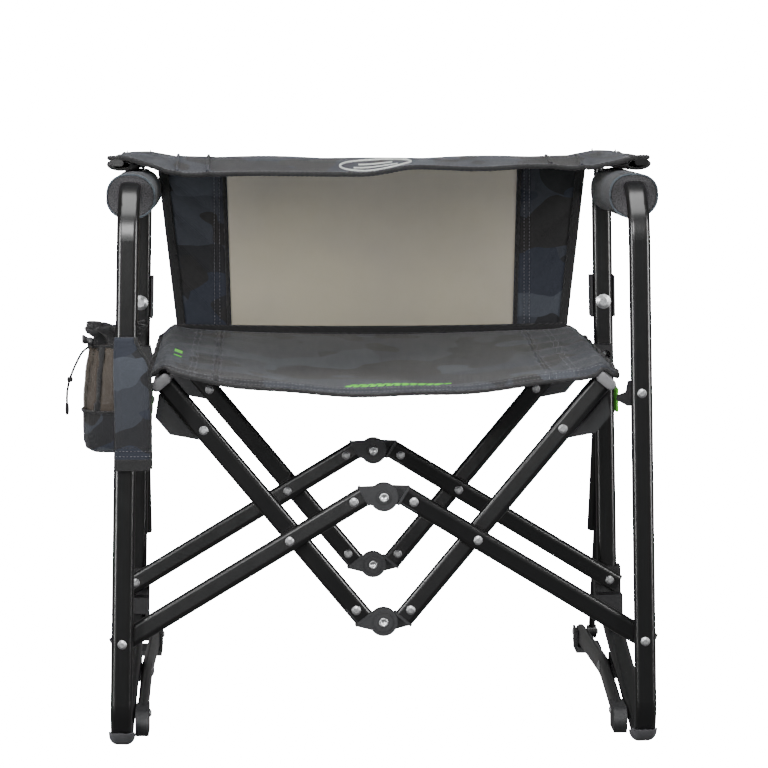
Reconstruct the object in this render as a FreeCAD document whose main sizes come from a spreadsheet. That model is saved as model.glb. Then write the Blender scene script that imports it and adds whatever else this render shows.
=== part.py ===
"""Camp rocking chair: a folding steel chair whose side frames rock on ground bars.

The parts are drawn in a working frame: X = 0 is the plane of symmetry, the front legs stand in
the plane Y = 0, +Y runs to the rear, +Z is up and Z = 0 is the ground. Left is -X, right is +X.
At the end they all move by origin_x and origin_y, so that the origin is the middle of the
ground under the chair. All sizes are millimetres.
The backrest's upper half is stored folded forward on the armrests, as the chair is sold.
"""
import FreeCAD
import Part
import math
import os
import Sketcher

Vector = FreeCAD.Vector
Rotation = FreeCAD.Rotation
Placement = FreeCAD.Placement
HALF_TURN = math.pi
SIDES = (("left", -1), ("right", 1))

DIMENSIONS = {
    "tube_wide": 25, "tube_thick": 12.5, "wall": 1.2,
    "frame_foot_x": 303, "lean_deg": 1.29, "rear_leg_y": 437,
    "base_slope_deg": 11, "base_rise": 1.0, "foot_bend": 45, "arm_bend": 58, "rear_bend": 45,
    "arm_height": 649, "arm_slope_deg": 1.5, "rear_leg_foot": 104, "base_end_y": 424,
    "pivot_height": 127, "half_track": 300,
    "hub_high": 293.6, "hub_low": 146, "hub_radius": 16.5, "hub_half": 5.6,
    "link_rivet_x": 34.4, "link_rivet_z": 288, "cross_x": 108.1,
    "diagonal_rivet_x": 31.4, "diagonal_rivet_z": 160, "gusset_rivet_x": 206, "gusset_rivet_z": 370,
    "rail_x": 254, "rail_z": 427, "rail_front_y": 9.8, "rail_length": 417.2,
    "seat_front_y": 2, "seat_long": 437,
    "link_front_y": 14, "diagonal_front_y": 28, "link_rear_y": 405, "diagonal_rear_y": 419,
    "rivet_shank": 6, "rivet_head": 10.5, "rivet_dome": 2.2, "pin_fit": 0.05, "open_fit": 6.2,
    "rock_y": 284, "rock_z": 39, "bar_x": 282.2, "bar_front_y": 96, "bar_front_z": 15,
    "bar_rear_y": 600, "bar_rear_z": 20, "bar_bend": 320,
    "strut_x": 296, "strut_top_y": 463, "strut_top_z": 352, "strut_foot_z": 34,
    "strut_tube": 205, "rod_radius": 4.4, "rod_reach": 238,
    "arm_pad_wide": 54, "arm_pad_high": 52, "arm_pad_front": 46, "arm_pad_long": 232,
    "post_y": 459, "post_radius": 7, "post_foot": 466, "fold_axis_z": 655, "arm_hinge_z": 660.5,
    "back_arm_wide": 16, "back_arm_thick": 8, "back_arm_front_x": 308, "back_arm_front_y": 147,
    "back_arm_front_z": 669.5,
    "seat_edge": 443.5, "seat_sag": 28, "sheet": 5, "seat_half": 262,
    "panel_low_half": 247, "panel_high_half": 271, "panel_low_z": 447, "panel_high_z": 655,
    "panel_low_y": 437, "panel_high_y": 450,
    "cup_x": 311, "cup_y": 56, "cup_radius": 35, "cup_low": 343, "cup_high": 474,
    "origin_x": 14.0, "origin_y": -297.8,
    "pocket_x": 286, "pocket_wide": 43, "pocket_low": 329, "pocket_high": 483, "pocket_deep": 11,
}

doc = FreeCAD.newDocument("camp_rocking_chair")
sheet = doc.addObject("Spreadsheet::Sheet", "sizes")
for row, (alias, number) in enumerate(DIMENSIONS.items(), start=1):
    sheet.set(f"A{row}", alias)
    sheet.set(f"B{row}", str(number))
    sheet.setAlias(f"B{row}", alias)
doc.recompute()

nodes = []


def size(alias):
    """The value of one cell of the sheet."""
    return float(getattr(sheet, alias))


def bind(thing, **expressions):
    """Bind properties of an object to the sheet; a bare alias is a cell."""
    for name, expression in expressions.items():
        thing.setExpression(name, spelled(expression))


def spelled(expression):
    """Put the sheet's name before each alias in an expression."""
    words = []
    word = ""
    for letter in expression + " ":
        if letter.isalnum() or letter == "_":
            word += letter
            continue
        words.append(f"sizes.{word}" if word in DIMENSIONS else word)
        words.append(letter)
        word = ""
    return "".join(words).strip()


def node(thing, name):
    """Name a finished sub-part and list it for export."""
    thing.Label = name
    nodes.append(thing)
    return thing


def origin_plane(body, role):
    """One of a body's own origin planes."""
    return [feature for feature in body.Origin.OriginFeatures if feature.Role == role][0]


def new_sketch(body, role, name="sketch"):
    """A sketch on one of the body's origin planes."""
    sketch = body.newObject("Sketcher::SketchObject", name)
    sketch.AttachmentSupport = [(origin_plane(body, role), "")]
    sketch.MapMode = "FlatFace"
    return sketch


def draw_oval(sketch, wide, thick):
    """A flat oval about the sketch's origin: two straights and two half rounds, fully bound."""
    first = sketch.GeometryCount
    radius, reach = 5.0, 6.0
    quarter = HALF_TURN / 2
    right = Part.Circle(Vector(reach, 0, 0), Vector(0, 0, 1), radius)
    left = Part.Circle(Vector(-reach, 0, 0), Vector(0, 0, 1), radius)
    sketch.addGeometry([
        Part.LineSegment(Vector(-reach, radius, 0), Vector(reach, radius, 0)),
        Part.ArcOfCircle(right, -quarter, quarter),
        Part.LineSegment(Vector(reach, -radius, 0), Vector(-reach, -radius, 0)),
        Part.ArcOfCircle(left, quarter, 3 * quarter)], False)
    rule = Sketcher.Constraint
    sketch.addConstraint([
        rule("Tangent", first, 2, first + 1, 2), rule("Tangent", first + 1, 1, first + 2, 1),
        rule("Tangent", first + 2, 2, first + 3, 2), rule("Tangent", first + 3, 1, first, 1),
        rule("PointOnObject", first + 1, 3, -1), rule("Symmetric", first + 1, 3, first + 3, 3, -1, 1)])
    index = sketch.addConstraint(rule("Radius", first + 1, radius))
    sketch.setExpression(f"Constraints[{index}]", spelled(f"({thick}) / 2"))
    index = sketch.addConstraint(rule("DistanceX", first + 3, 3, first + 1, 3, 2 * reach))
    sketch.setExpression(f"Constraints[{index}]", spelled(f"({wide}) - ({thick})"))


def draw_hole(sketch, height, diameter, guess):
    """A round hole on the sketch's vertical axis, its height and diameter bound."""
    hole = sketch.addGeometry(Part.Circle(Vector(0, guess, 0), Vector(0, 0, 1), 3), False)
    rule = Sketcher.Constraint
    sketch.addConstraint(rule("PointOnObject", hole, 3, -2))
    index = sketch.addConstraint(rule("DistanceY", -1, 1, hole, 3, guess))
    sketch.setExpression(f"Constraints[{index}]", spelled(height))
    index = sketch.addConstraint(rule("Diameter", hole, 6))
    sketch.setExpression(f"Constraints[{index}]", spelled(diameter))


def oval_tube(name, length, holes, place, wide="tube_wide", thick="tube_thick"):
    """A straight flat-oval tube along its own Z, with cross holes through its thin way."""
    body = doc.addObject("PartDesign::Body", name)
    profile = new_sketch(body, "XY_Plane")
    draw_oval(profile, wide, thick)
    draw_oval(profile, f"{wide} - 2 * wall", f"{thick} - 2 * wall")
    pad = body.newObject("PartDesign::Pad", "tube")
    pad.Profile = profile
    bind(pad, Length=length)
    if holes:
        drilling = new_sketch(body, "XZ_Plane")
        for height, diameter, guess in holes:
            draw_hole(drilling, height, diameter, guess)
        pocket = body.newObject("PartDesign::Pocket", "holes")
        pocket.Profile = drilling
        pocket.Midplane = True
        pocket.Type = "ThroughAll"
    body.Placement = place
    return node(body, name)


def box(name, length, width, height, place):
    """A box primitive with bound sides: X, Y, Z from its own corner."""
    solid = doc.addObject("Part::Box", name)
    bind(solid, Length=length, Width=width, Height=height)
    solid.Placement = place
    return solid


def cylinder(name, radius, height, place):
    """A cylinder primitive with bound radius and height along its own Z."""
    solid = doc.addObject("Part::Cylinder", name)
    bind(solid, Radius=radius, Height=height)
    solid.Placement = place
    return solid


def fuse(name, *pieces):
    """The union of several solids."""
    union = doc.addObject("Part::MultiFuse", name)
    union.Shapes = list(pieces)
    return union


def cut(name, base, *tools):
    """The base with every tool cut from it."""
    result = base
    for index, tool in enumerate(tools):
        step = doc.addObject("Part::Cut", f"{name}_{index}")
        step.Base = result
        step.Tool = tool
        result = step
    return result


def rounded(name, base, radius):
    """The base with all its edges rounded."""
    doc.recompute()
    soft = doc.addObject("Part::Fillet", name)
    soft.Base = base
    soft.Edges = [(index + 1, radius, radius) for index in range(len(base.Shape.Edges))]
    return soft


def feature(name, shape):
    """A sub-part whose shape is made with Part's own functions."""
    thing = doc.addObject("Part::Feature", name)
    thing.Shape = shape
    return node(thing, name)


ACROSS = Rotation(Vector(0, 1, 0), 90)      # local Z to world X
REARWARD = Rotation(Vector(1, 0, 0), -90)   # local Z to world Y


def at(x, y, z, turn=Rotation()):
    """A placement at a point."""
    return Placement(Vector(x, y, z), turn)


def lean(side):
    """The placement of a side frame: splayed outward at the foot."""
    turn = Rotation(Vector(0, 1, 0), -side * size("lean_deg"))
    return Placement(Vector(side * size("frame_foot_x"), 0, 0), turn)


def frame_x(z):
    """Half the track of the side frames at a height."""
    return size("frame_foot_x") - z * math.tan(math.radians(size("lean_deg")))


# ---------------------------------------------------------------- bent tubes

def rounded_path(points, radii):
    """A wire of straight runs in the YZ plane with a tangent arc at each inner point."""
    edges = []
    start = points[0]
    for index in range(1, len(points) - 1):
        corner = points[index]
        into = (corner - points[index - 1]).normalize()
        out = (points[index + 1] - corner).normalize()
        turn = into.getAngle(out)
        back = radii[index - 1] * math.tan(turn / 2)
        middle_way = (out - into).normalize()
        depth = radii[index - 1] / math.cos(turn / 2) - radii[index - 1]
        first = corner - into * back
        last = corner + out * back
        edges.append(Part.LineSegment(start, first).toShape())
        edges.append(Part.Arc(first, corner + middle_way * depth, last).toShape())
        start = last
    edges.append(Part.LineSegment(start, points[-1]).toShape())
    return Part.Wire(edges)


def oval_wire(origin, along, side, wide, thick):
    """A flat oval outline at a point, square to a path; its wide way runs along side."""
    up = along.cross(side).normalize()
    reach = (wide - thick) / 2
    half = thick / 2
    corners = [origin + side * (sx * reach) + up * (sz * half)
               for sx, sz in ((-1, 1), (1, 1), (1, -1), (-1, -1))]
    right = origin + side * (reach + half)
    left = origin - side * (reach + half)
    return Part.Wire([
        Part.LineSegment(corners[0], corners[1]).toShape(),
        Part.Arc(corners[1], right, corners[2]).toShape(),
        Part.LineSegment(corners[2], corners[3]).toShape(),
        Part.Arc(corners[3], left, corners[0]).toShape()])


def swept(path, wide, thick, side=Vector(1, 0, 0)):
    """A solid flat-oval bar swept along a path in the YZ plane."""
    first = path.Edges[0]
    origin = first.valueAt(first.FirstParameter)
    along = first.tangentAt(first.FirstParameter)
    return path.makePipeShell([oval_wire(origin, along, side, wide, thick)], True, False)


def drilled(shape, origin, direction, radius, reach=60):
    """A shape with a round hole through it, centred on origin."""
    direction = Vector(direction).normalize()
    tool = Part.makeCylinder(radius, reach, origin - direction * (reach / 2), direction)
    return shape.cut(tool)


BASE_SLOPE = math.tan(math.radians(size("base_slope_deg")))
ARM_SLOPE = math.tan(math.radians(size("arm_slope_deg")))


def base_height(y):
    """Height of the base tube's centre line at a depth."""
    return size("base_rise") + y * BASE_SLOPE


def frame_path():
    """Centre line of a side frame's one bent tube, from the base's rear end to the rear leg's foot."""
    rear = size("rear_leg_y")
    top = size("arm_height")
    points = [
        Vector(0, size("base_end_y"), base_height(size("base_end_y"))),
        Vector(0, 0, size("base_rise")),
        Vector(0, 0, top),
        Vector(0, rear, top - rear * ARM_SLOPE),
        Vector(0, rear, size("rear_leg_foot"))]
    return rounded_path(points, [size("foot_bend"), size("arm_bend"), size("rear_bend")])


RIVET_HOLE = size("rivet_shank") / 2 + size("pin_fit")
LINK_FOOT = (size("half_track"), size("pivot_height"))
SADDLE_Z = 414
BACK_BRACKET_Z = 479
STRUT_HUB_BOLTS = (size("strut_top_y"), size("strut_top_z"))


def side_frame(name, side):
    """The bent flat-oval tube of one side, with its rivet holes."""
    wide, thick, wall = size("tube_wide"), size("tube_thick"), size("wall")
    path = frame_path()
    tube = swept(path, wide, thick).cut(swept(path, wide - 2 * wall, thick - 2 * wall))
    rear = size("rear_leg_y")
    tube.Placement = lean(side)
    pivot_x, pivot_z = LINK_FOOT
    for x, y, z in ((pivot_x, 0, pivot_z), (pivot_x, rear, pivot_z), (frame_x(SADDLE_Z), 0, SADDLE_Z),
                    (frame_x(SADDLE_Z), rear, SADDLE_Z), (frame_x(BACK_BRACKET_Z), rear, BACK_BRACKET_Z)):
        tube = drilled(tube, Vector(side * x, y, z), (0, 1, 0), RIVET_HOLE, 30)
    return feature(name, tube)


def foot_pad(name, side):
    """The rubber shoe that cups the front foot bend from below."""
    path = frame_path()
    arc = Part.Wire([path.Edges[1]])
    wide, thick = size("tube_wide"), size("tube_thick")
    shoe = swept(arc, wide + 5, thick + 8).cut(swept(arc, wide + 0.2, thick + 0.2))
    centre = Vector(0, size("foot_bend"), base_height(size("foot_bend")) + size("foot_bend"))
    keep = Part.makeBox(60, 90, 26, Vector(-30, -30, -5))
    inner = Part.makeCylinder(size("foot_bend"), 60, centre + Vector(-30, 0, 1), Vector(1, 0, 0))
    shoe = shoe.common(keep).cut(inner)
    flat = Part.makeBox(80, 200, 20, Vector(-40, -80, -20.0))
    thing = feature(name, shoe.cut(flat))
    thing.Placement = lean(side)
    return thing


def arm_pad(name, side):
    """The foam armrest sleeve: a round-topped D section with a channel for the arm tube."""
    high, half = size("arm_pad_high"), size("arm_pad_wide") / 2
    inward = -side * 0.8
    low = -high + 14.5
    corner = 17
    left, right, top = inward - half, inward + half, low + high
    section = Part.Wire([
        Part.Arc(Vector(left, 0, top - half), Vector(inward, 0, top),
                 Vector(right, 0, top - half)).toShape(),
        Part.LineSegment(Vector(right, 0, top - half), Vector(right, 0, low + corner)).toShape(),
        Part.Arc(Vector(right, 0, low + corner), Vector(right - 5, 0, low + 5),
                 Vector(right - corner, 0, low)).toShape(),
        Part.LineSegment(Vector(right - corner, 0, low), Vector(left + corner, 0, low)).toShape(),
        Part.Arc(Vector(left + corner, 0, low), Vector(left + 5, 0, low + 5),
                 Vector(left, 0, low + corner)).toShape(),
        Part.LineSegment(Vector(left, 0, low + corner), Vector(left, 0, top - half)).toShape()])
    length = size("arm_pad_long")
    sleeve = Part.Face(section).extrude(Vector(0, length, 0))
    wide, thick = size("tube_wide") + 0.6, size("tube_thick") + 0.6
    channel = Part.makeBox(wide, length + 2, 48, Vector(-wide / 2, -1, thick / 2 - 48))
    mouth = Part.makeBox(wide, 30, 70, Vector(-wide / 2, -1, thick / 2 - 70))
    plug = sleeve.cut(channel.fuse(mouth))
    cap = Part.Face(section).extrude(Vector(0, length, 0))
    floor = cap.common(Part.makeBox(wide - 0.4, length - 32, 22, Vector(-wide / 2 + 0.2, 31, low)))
    thing = feature(name, plug.fuse(floor).removeSplitter())
    front = size("arm_pad_front")
    tilt = Rotation(Vector(1, 0, 0), -size("arm_slope_deg"))
    local = Placement(Vector(0, front, size("arm_height") - front * ARM_SLOPE), tilt)
    thing.Placement = lean(side).multiply(local)
    return thing


def corner_bracket(name, side):
    """The pressed bracket that joins the base tube's end to the rear leg's foot."""
    wide, thick = size("tube_wide") + 0.5, size("tube_thick") + 0.5
    rear = size("rear_leg_y")
    block = Part.makeBox(33, 46, 64, Vector(-16.5, rear - 33, 76))
    leg = Part.makeBox(wide, thick, 80, Vector(-wide / 2, rear - thick / 2, 99))
    end = size("base_end_y")
    start = Vector(0, end - 60, base_height(end - 60))
    along = Vector(0, 1, BASE_SLOPE).normalize()
    base = Part.makeBox(wide, thick, 62.5, Vector(-wide / 2, -thick / 2, 0))
    base.Placement = Placement(start, Rotation(Vector(0, 0, 1), along)).multiply(base.Placement)
    window = Part.makeBox(40, 24, 60, Vector(-20, rear - 36, 107))
    shape = block.cut(leg).cut(base).cut(window)
    shape.Placement = lean(side)
    pivot = Vector(side * LINK_FOOT[0], rear, LINK_FOOT[1])
    return feature(name, drilled(shape, pivot, (0, 1, 0), size("rivet_head") / 2 + 0.6, 80))


def rail_saddles(name, side):
    """Two hooked brackets on the legs, in which the seat rail rests when the chair is open."""
    shapes = []
    rear = size("rear_leg_y")
    for y_low, y_high, leg_y in ((7.6, 20, 0), (404, 429.4, rear)):
        inner = frame_x(SADDLE_Z) - 12.5
        outline = [(inner + 20, 398), (inner - 3, 398), (inner - 14, 404), (inner - 14, 409),
                   (inner - 4, 413), (inner - 1.5, 426), (inner + 20, 426)]
        wire = Part.makePolygon([Vector(side * x, y_low, z) for x, z in outline + outline[:1]])
        hook = Part.Face(wire).extrude(Vector(0, y_high - y_low, 0))
        bolt = Vector(side * frame_x(SADDLE_Z), leg_y, SADDLE_Z)
        shapes.append(drilled(hook, bolt, (0, 1, 0), size("rivet_head") / 2 + 0.3, 100))
    return feature(name, Part.makeCompound(shapes))


def ground_bar(name, side):
    """The bar on the ground that the side frame rocks on, bent once at the pivot."""
    points = [Vector(0, size("bar_front_y"), size("bar_front_z")),
              Vector(0, size("rock_y"), size("rock_z")),
              Vector(0, size("bar_rear_y"), size("bar_rear_z"))]
    path = rounded_path(points, [size("bar_bend")])
    high, thin, wall = size("tube_wide"), size("tube_thick"), size("wall")
    outer = swept_on_edge(path, high, thin)
    inner = swept_on_edge(path, high - 2 * wall, thin - 2 * wall)
    bar = outer.cut(inner)
    bore = size("rivet_shank") / 2 + 1 + size("pin_fit")
    for y, z in ((size("rock_y"), size("rock_z")),):
        bar = drilled(bar, Vector(0, y, z), (1, 0, 0), bore)
    for y, z in GROUND_BOLTS:
        bar = drilled(bar, Vector(0, y, z), (1, 0, 0), RIVET_HOLE)
    thing = feature(name, bar)
    thing.Placement = at(side * size("bar_x"), 0, 0)
    return thing


def swept_on_edge(path, high, thin):
    """A flat-oval bar swept with its wide way upright."""
    first = path.Edges[0]
    origin = first.valueAt(first.FirstParameter)
    along = first.tangentAt(first.FirstParameter)
    upright = Vector(1, 0, 0).cross(along).normalize()
    return path.makePipeShell([oval_wire(origin, along, upright, high, thin)], True, False)


GROUND_BOLTS = ((119, 20.5), (size("bar_rear_y") - 8, size("strut_foot_z") - 10))
BOLT_RADIUS = size("rivet_shank") / 2


def glide_foot(name, side):
    """The moulded front foot of the ground bar: a rounded shoe around the bar's front end."""
    outline = Part.Wire([
        Part.LineSegment(Vector(0, 84, 0), Vector(0, 128, 0)).toShape(),
        Part.LineSegment(Vector(0, 128, 0), Vector(0, 136, 30)).toShape(),
        Part.LineSegment(Vector(0, 136, 30), Vector(0, 96, 30)).toShape(),
        Part.Arc(Vector(0, 96, 30), Vector(0, 78, 13), Vector(0, 84, 0)).toShape()])
    shoe = Part.Face(outline).extrude(Vector(15.7, 0, 0))
    shoe.translate(Vector(-8.5, 0, 0))
    points = [Vector(0, size("bar_front_y") - 1, size("bar_front_z") - 0.1),
              Vector(0, size("rock_y"), size("rock_z") + 0.05)]
    path = Part.Wire([Part.LineSegment(*points).toShape()])
    socket = swept_on_edge(path, size("tube_wide") + 0.2, size("tube_thick") + 0.2)
    shoe = shoe.cut(socket)
    y, z = GROUND_BOLTS[0]
    shoe = mirrored(drilled(shoe, Vector(0, y, z), (1, 0, 0), RIVET_HOLE), side)
    thing = feature(name, shoe)
    thing.Placement = at(side * size("bar_x"), 0, 0)
    return thing


def rear_foot(name, side):
    """The moulded rear foot: a block under the ground bar's rear end and the strut's eye."""
    y_rear = size("bar_rear_y")
    foot = Part.makeBox(34, 52, 7.2, Vector(-9, y_rear - 36, 0))
    foot = foot.makeFillet(3, [edge for edge in foot.Edges if abs(edge.tangentAt(0).z) > 0.9])
    cheek = Part.makeBox(3, 44, 22, Vector(-9.6, y_rear - 32, 7.2))
    shape = foot.fuse(cheek)
    y, z = GROUND_BOLTS[1]
    shape = drilled(shape, Vector(0, y, z), (1, 0, 0), RIVET_HOLE)
    shape = shape.mirror(Vector(0, 0, 0), Vector(1, 0, 0)) if side < 0 else shape
    thing = feature(name, shape)
    thing.Placement = at(side * size("bar_x"), 0, 0)
    return thing


def rocker_block(name, side):
    """The block under the base tube that carries the rocking pivot."""
    y, z = size("rock_y"), size("rock_z")
    inner = size("bar_x") + size("tube_thick") / 2 + 0.4
    outer = size("frame_foot_x") + size("tube_wide") / 2
    block = Part.makeBox(outer - inner, 40, 40, Vector(inner, y - 20, z - 11))
    above = Part.makeBox(80, 160, 60, Vector(-40, -80, -size("tube_thick") / 2 - 0.2))
    along = Vector(0, 1, BASE_SLOPE).normalize()
    above.Placement = Placement(Vector((inner + outer) / 2, y, base_height(y)),
                                Rotation(Vector(0, 1, 0), along)).multiply(above.Placement)
    block = drilled(block.cut(above), Vector(outer, y, z), (1, 0, 0), BOLT_RADIUS + 1, 90)
    if side < 0:
        block = block.mirror(Vector(0, 0, 0), Vector(1, 0, 0))
    return feature(name, block)


# ---------------------------------------------------------------- rivets and bolts

def rivet(point, direction, grip, shank=BOLT_RADIUS, head=size("rivet_head") / 2, far=None):
    """One domed rivet: its grip starts at the point and runs along the direction; far 0 is flush."""
    dome = size("rivet_dome")
    along = Vector(direction).normalize()
    far = head if far is None else far
    body = Part.makeCylinder(shank, grip, point, along)
    for base, way, reach in ((point, along * -1, head), (point + along * grip, along, far)):
        if reach:
            body = body.fuse(Part.makeCone(reach, reach * 0.55, dome, base, way))
    return body


def grouped(name, shapes, place=None):
    """One node of separate, like fasteners."""
    thing = feature(name, Part.makeCompound(shapes))
    if place is not None:
        thing.Placement = place
    return thing


def frame_rivets(name, side):
    """The bolts fixed in a side frame: saddles, back bracket, pivot bolt and strut hub."""
    half = size("tube_thick") / 2
    shapes = []
    rear = size("rear_leg_y")
    for leg_y, z, grip_low, grip_high in (
            (0, SADDLE_Z, -half, half + 1.2), (rear, SADDLE_Z, -half - 1.2, half),
            (rear, BACK_BRACKET_Z, -half - 1.6, half + 3)):
        x = side * frame_x(z)
        small = size("rivet_head") / 2
        head = 9.4 if z == BACK_BRACKET_Z else small
        start = Vector(x, leg_y + grip_low, z)
        shapes.append(rivet(start, (0, 1, 0), grip_high - grip_low, BOLT_RADIUS, head, small))
    y, z = size("rock_y"), size("rock_z")
    inner = size("bar_x") - size("tube_thick") / 2 - 0.4
    outer = size("frame_foot_x") + size("tube_wide") / 2 + 0.1
    start = Vector(side * inner, y, z)
    shapes.append(rivet(start, (side, 0, 0), outer - inner, BOLT_RADIUS + 1, 8))
    y, z = STRUT_HUB_BOLTS
    shapes.append(rivet(Vector(side * (size("strut_x") - 17.4), y, z), (side, 0, 0), 34.8))
    return grouped(name, shapes)


def strut_hub(name, side):
    """The clevis on the rear leg that holds the strut's upper end."""
    y, z = STRUT_HUB_BOLTS
    centre = size("strut_x")
    half = size("tube_wide") / 2 + 1.8
    rear_face = size("rear_leg_y") + size("tube_thick") / 2
    shapes = []
    for way in (-1, 1):
        low = centre + way * (half + 1.4) - 1.4
        cheek = Part.makeBox(2.8, y - rear_face + 14, 30, Vector(low, rear_face - 8, z - 15))
        round_end = Part.makeCylinder(15, 2.8, Vector(low, y, z), Vector(1, 0, 0))
        shapes.append(cheek.fuse(round_end))
    web = Part.makeBox(2 * half, 3, 30, Vector(centre - half, rear_face + 0.4, z - 15))
    hub = shapes[0].fuse([shapes[1], web])
    hub = drilled(hub, Vector(centre, y, z), (1, 0, 0), RIVET_HOLE, 90)
    if side < 0:
        hub = hub.mirror(Vector(0, 0, 0), Vector(1, 0, 0))
    return feature(name, hub)


def strut_line():
    """The strut's upper pivot, its lower pivot and the unit vector down it."""
    top = Vector(0, size("strut_top_y"), size("strut_top_z"))
    foot = Vector(0, GROUND_BOLTS[1][0], GROUND_BOLTS[1][1])
    return top, foot, (foot - top).normalize()


def strut_tube(name, side):
    """The strut's outer tube, hung from the rear leg."""
    top, _, down = strut_line()
    across = Vector(1, 0, 0)
    wide, thick, wall = size("tube_wide"), size("tube_thick"), size("wall")
    start = top - down * 11
    path = Part.Wire([Part.LineSegment(start, start + down * size("strut_tube")).toShape()])
    tube = path.makePipeShell([oval_wire(start, down, across, wide, thick)], True, False)
    bore = path.makePipeShell([oval_wire(start, down, across, wide - 2 * wall, thick - 2 * wall)],
                              True, False)
    tube = drilled(tube.cut(bore), top, (1, 0, 0), RIVET_HOLE, 60)
    thing = feature(name, tube)
    thing.Placement = at(side * size("strut_x"), 0, 0)
    return thing


def strut_rod(name, side):
    """The strut's sliding rod with the eye that turns on the ground bar's rear bolt."""
    _, foot, down = strut_line()
    rod = Part.makeCylinder(size("rod_radius"), size("rod_reach"), foot, down * -1)
    eye = Part.makeCylinder(9, 12, foot - Vector(6, 0, 0), Vector(1, 0, 0))
    shape = drilled(rod.fuse(eye), foot, (1, 0, 0), RIVET_HOLE, 60)
    thing = feature(name, shape)
    thing.Placement = at(side * size("strut_x"), 0, 0)
    return thing


def ground_bolts(name, side):
    """The lateral bolts of the ground bar: glide foot, and rear foot with the strut's eye."""
    inner = size("bar_x") - 8.8
    y, z = GROUND_BOLTS[0]
    shapes = [rivet(Vector(side * inner, y, z), (side, 0, 0), 15.8, far=0)]
    y, z = GROUND_BOLTS[1]
    inner = size("bar_x") - 9.9
    outer = size("strut_x") + 6.4
    shapes.append(rivet(Vector(side * inner, y, z), (side, 0, 0), outer - inner))
    return grouped(name, shapes)


# ---------------------------------------------------------------- folding back

def back_bracket(name, side):
    """The clamp that holds the back post to the rear leg."""
    half = size("tube_wide") / 2 + 0.3
    rear = size("rear_leg_y")
    front = rear - 3
    back = size("post_y") + size("post_radius") + 3
    block = Part.makeBox(2 * half + 5, back - front, 52, Vector(-half - 2.5, front, 459))
    leg = Part.makeBox(2 * half, size("tube_thick") + 3.3, 60, Vector(-half, rear - 9, 455))
    front_slot = Part.makeBox(2 * half, 8, 60, Vector(-half, front - 1, 455))
    shape = block.cut(leg.fuse(front_slot))
    shape.Placement = lean(side)
    post = Part.makeCylinder(size("post_radius") + 0.15, 70,
                             Vector(side * BACK_HINGE_X, size("post_y"), 452))
    bolt = Vector(side * frame_x(BACK_BRACKET_Z), rear, BACK_BRACKET_Z)
    seat_y = size("tube_thick") / 2 + 3
    pocket = Part.makeCylinder(5.8, 6, bolt + Vector(0, seat_y, 0), Vector(0, 1, 0))
    shape = drilled(shape.cut(post).cut(pocket), bolt, (0, 1, 0), RIVET_HOLE, 24)
    return feature(name, shape)


def back_post(name, side):
    """The fixed lower back post, from the bracket up to the backrest's folding hinge."""
    foot, top = size("post_foot"), size("fold_axis_z")
    y, radius = size("post_y"), size("post_radius")
    post = Part.makeCylinder(radius, top - foot - 9, Vector(0, y, foot))
    post = post.cut(Part.makeCylinder(radius - 1.2, top - foot, Vector(0, y, foot - 1)))
    lug = Part.makeBox(4, 2 * radius, 26, Vector(-2, y - radius, top - 18))
    lug = lug.fuse(Part.makeCylinder(radius, 4, Vector(-2, y, top + 4), Vector(1, 0, 0)))
    plug = Part.makeCylinder(radius - 1.3, 12, Vector(0, y, top - 21))
    shape = drilled(post.fuse([lug, plug]), Vector(0, y, top), (1, 0, 0), RIVET_HOLE)
    thing = feature(name, shape)
    thing.Placement = at(side * BACK_HINGE_X, 0, 0)
    return thing


BACK_HINGE_X = frame_x(size("arm_height"))


def back_arm(name, side):
    """The folding upper back post: two hinge ears and a bar that lies over the armrest."""
    y, z, arm_z = size("post_y"), size("fold_axis_z"), size("arm_hinge_z")
    hinge = Vector(BACK_HINGE_X, y, arm_z)
    tip = Vector(size("back_arm_front_x"), size("back_arm_front_y"), size("back_arm_front_z"))
    start = hinge + (tip - hinge).normalize() * 12
    along = (tip - start).normalize()
    across = Vector(0, 0, 1).cross(along).normalize()
    wide, thick = size("back_arm_wide"), size("back_arm_thick")
    path = Part.Wire([Part.LineSegment(start, tip).toShape()])
    bar = path.makePipeShell([oval_wire(start, along, across, wide, thick)], True, False)
    shape = bar
    for way in (-1, 1):
        low = BACK_HINGE_X + way * 3.6 - 1.4
        ear = Part.makeBox(2.8, 27, 7, Vector(low, y - 22, arm_z - 3.5))
        disc = Part.makeCylinder(6.6, 2.8, Vector(low, y, z), Vector(1, 0, 0))
        riser = Part.makeBox(2.8, 13, arm_z - z, Vector(low, y - 6.5, z))
        shape = shape.fuse([ear, disc, riser])
    pin = Part.makeCylinder(BOLT_RADIUS, 12.4, Vector(BACK_HINGE_X - 6.2, y, z), Vector(1, 0, 0))
    shape = shape.fuse(pin).removeSplitter()
    if side < 0:
        shape = shape.mirror(Vector(0, 0, 0), Vector(1, 0, 0))
    return feature(name, shape)


# ---------------------------------------------------------------- folding linkage

def direction(first, last):
    """Length and unit vector between two points of the XZ plane."""
    run = Vector(last[0] - first[0], 0, last[1] - first[1])
    return run.Length, run.normalize()


LINK_RIVET = (size("link_rivet_x"), size("link_rivet_z"))
LINK_REACH, LINK_WAY = direction(LINK_FOOT, LINK_RIVET)
CROSS = (size("cross_x"), LINK_FOOT[1] + (LINK_FOOT[0] - size("cross_x")) * -LINK_WAY.z / LINK_WAY.x)
DIAGONAL_RIVET = (size("diagonal_rivet_x"), size("diagonal_rivet_z"))
GUSSET_RIVET = (size("gusset_rivet_x"), size("gusset_rivet_z"))
DIAGONAL_REACH, DIAGONAL_WAY = direction(DIAGONAL_RIVET, GUSSET_RIVET)
END_MARGIN = 12
RAIL = (size("rail_x"), size("rail_z"))
RIVET_BORE = "rivet_shank + 2 * pin_fit"


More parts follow.
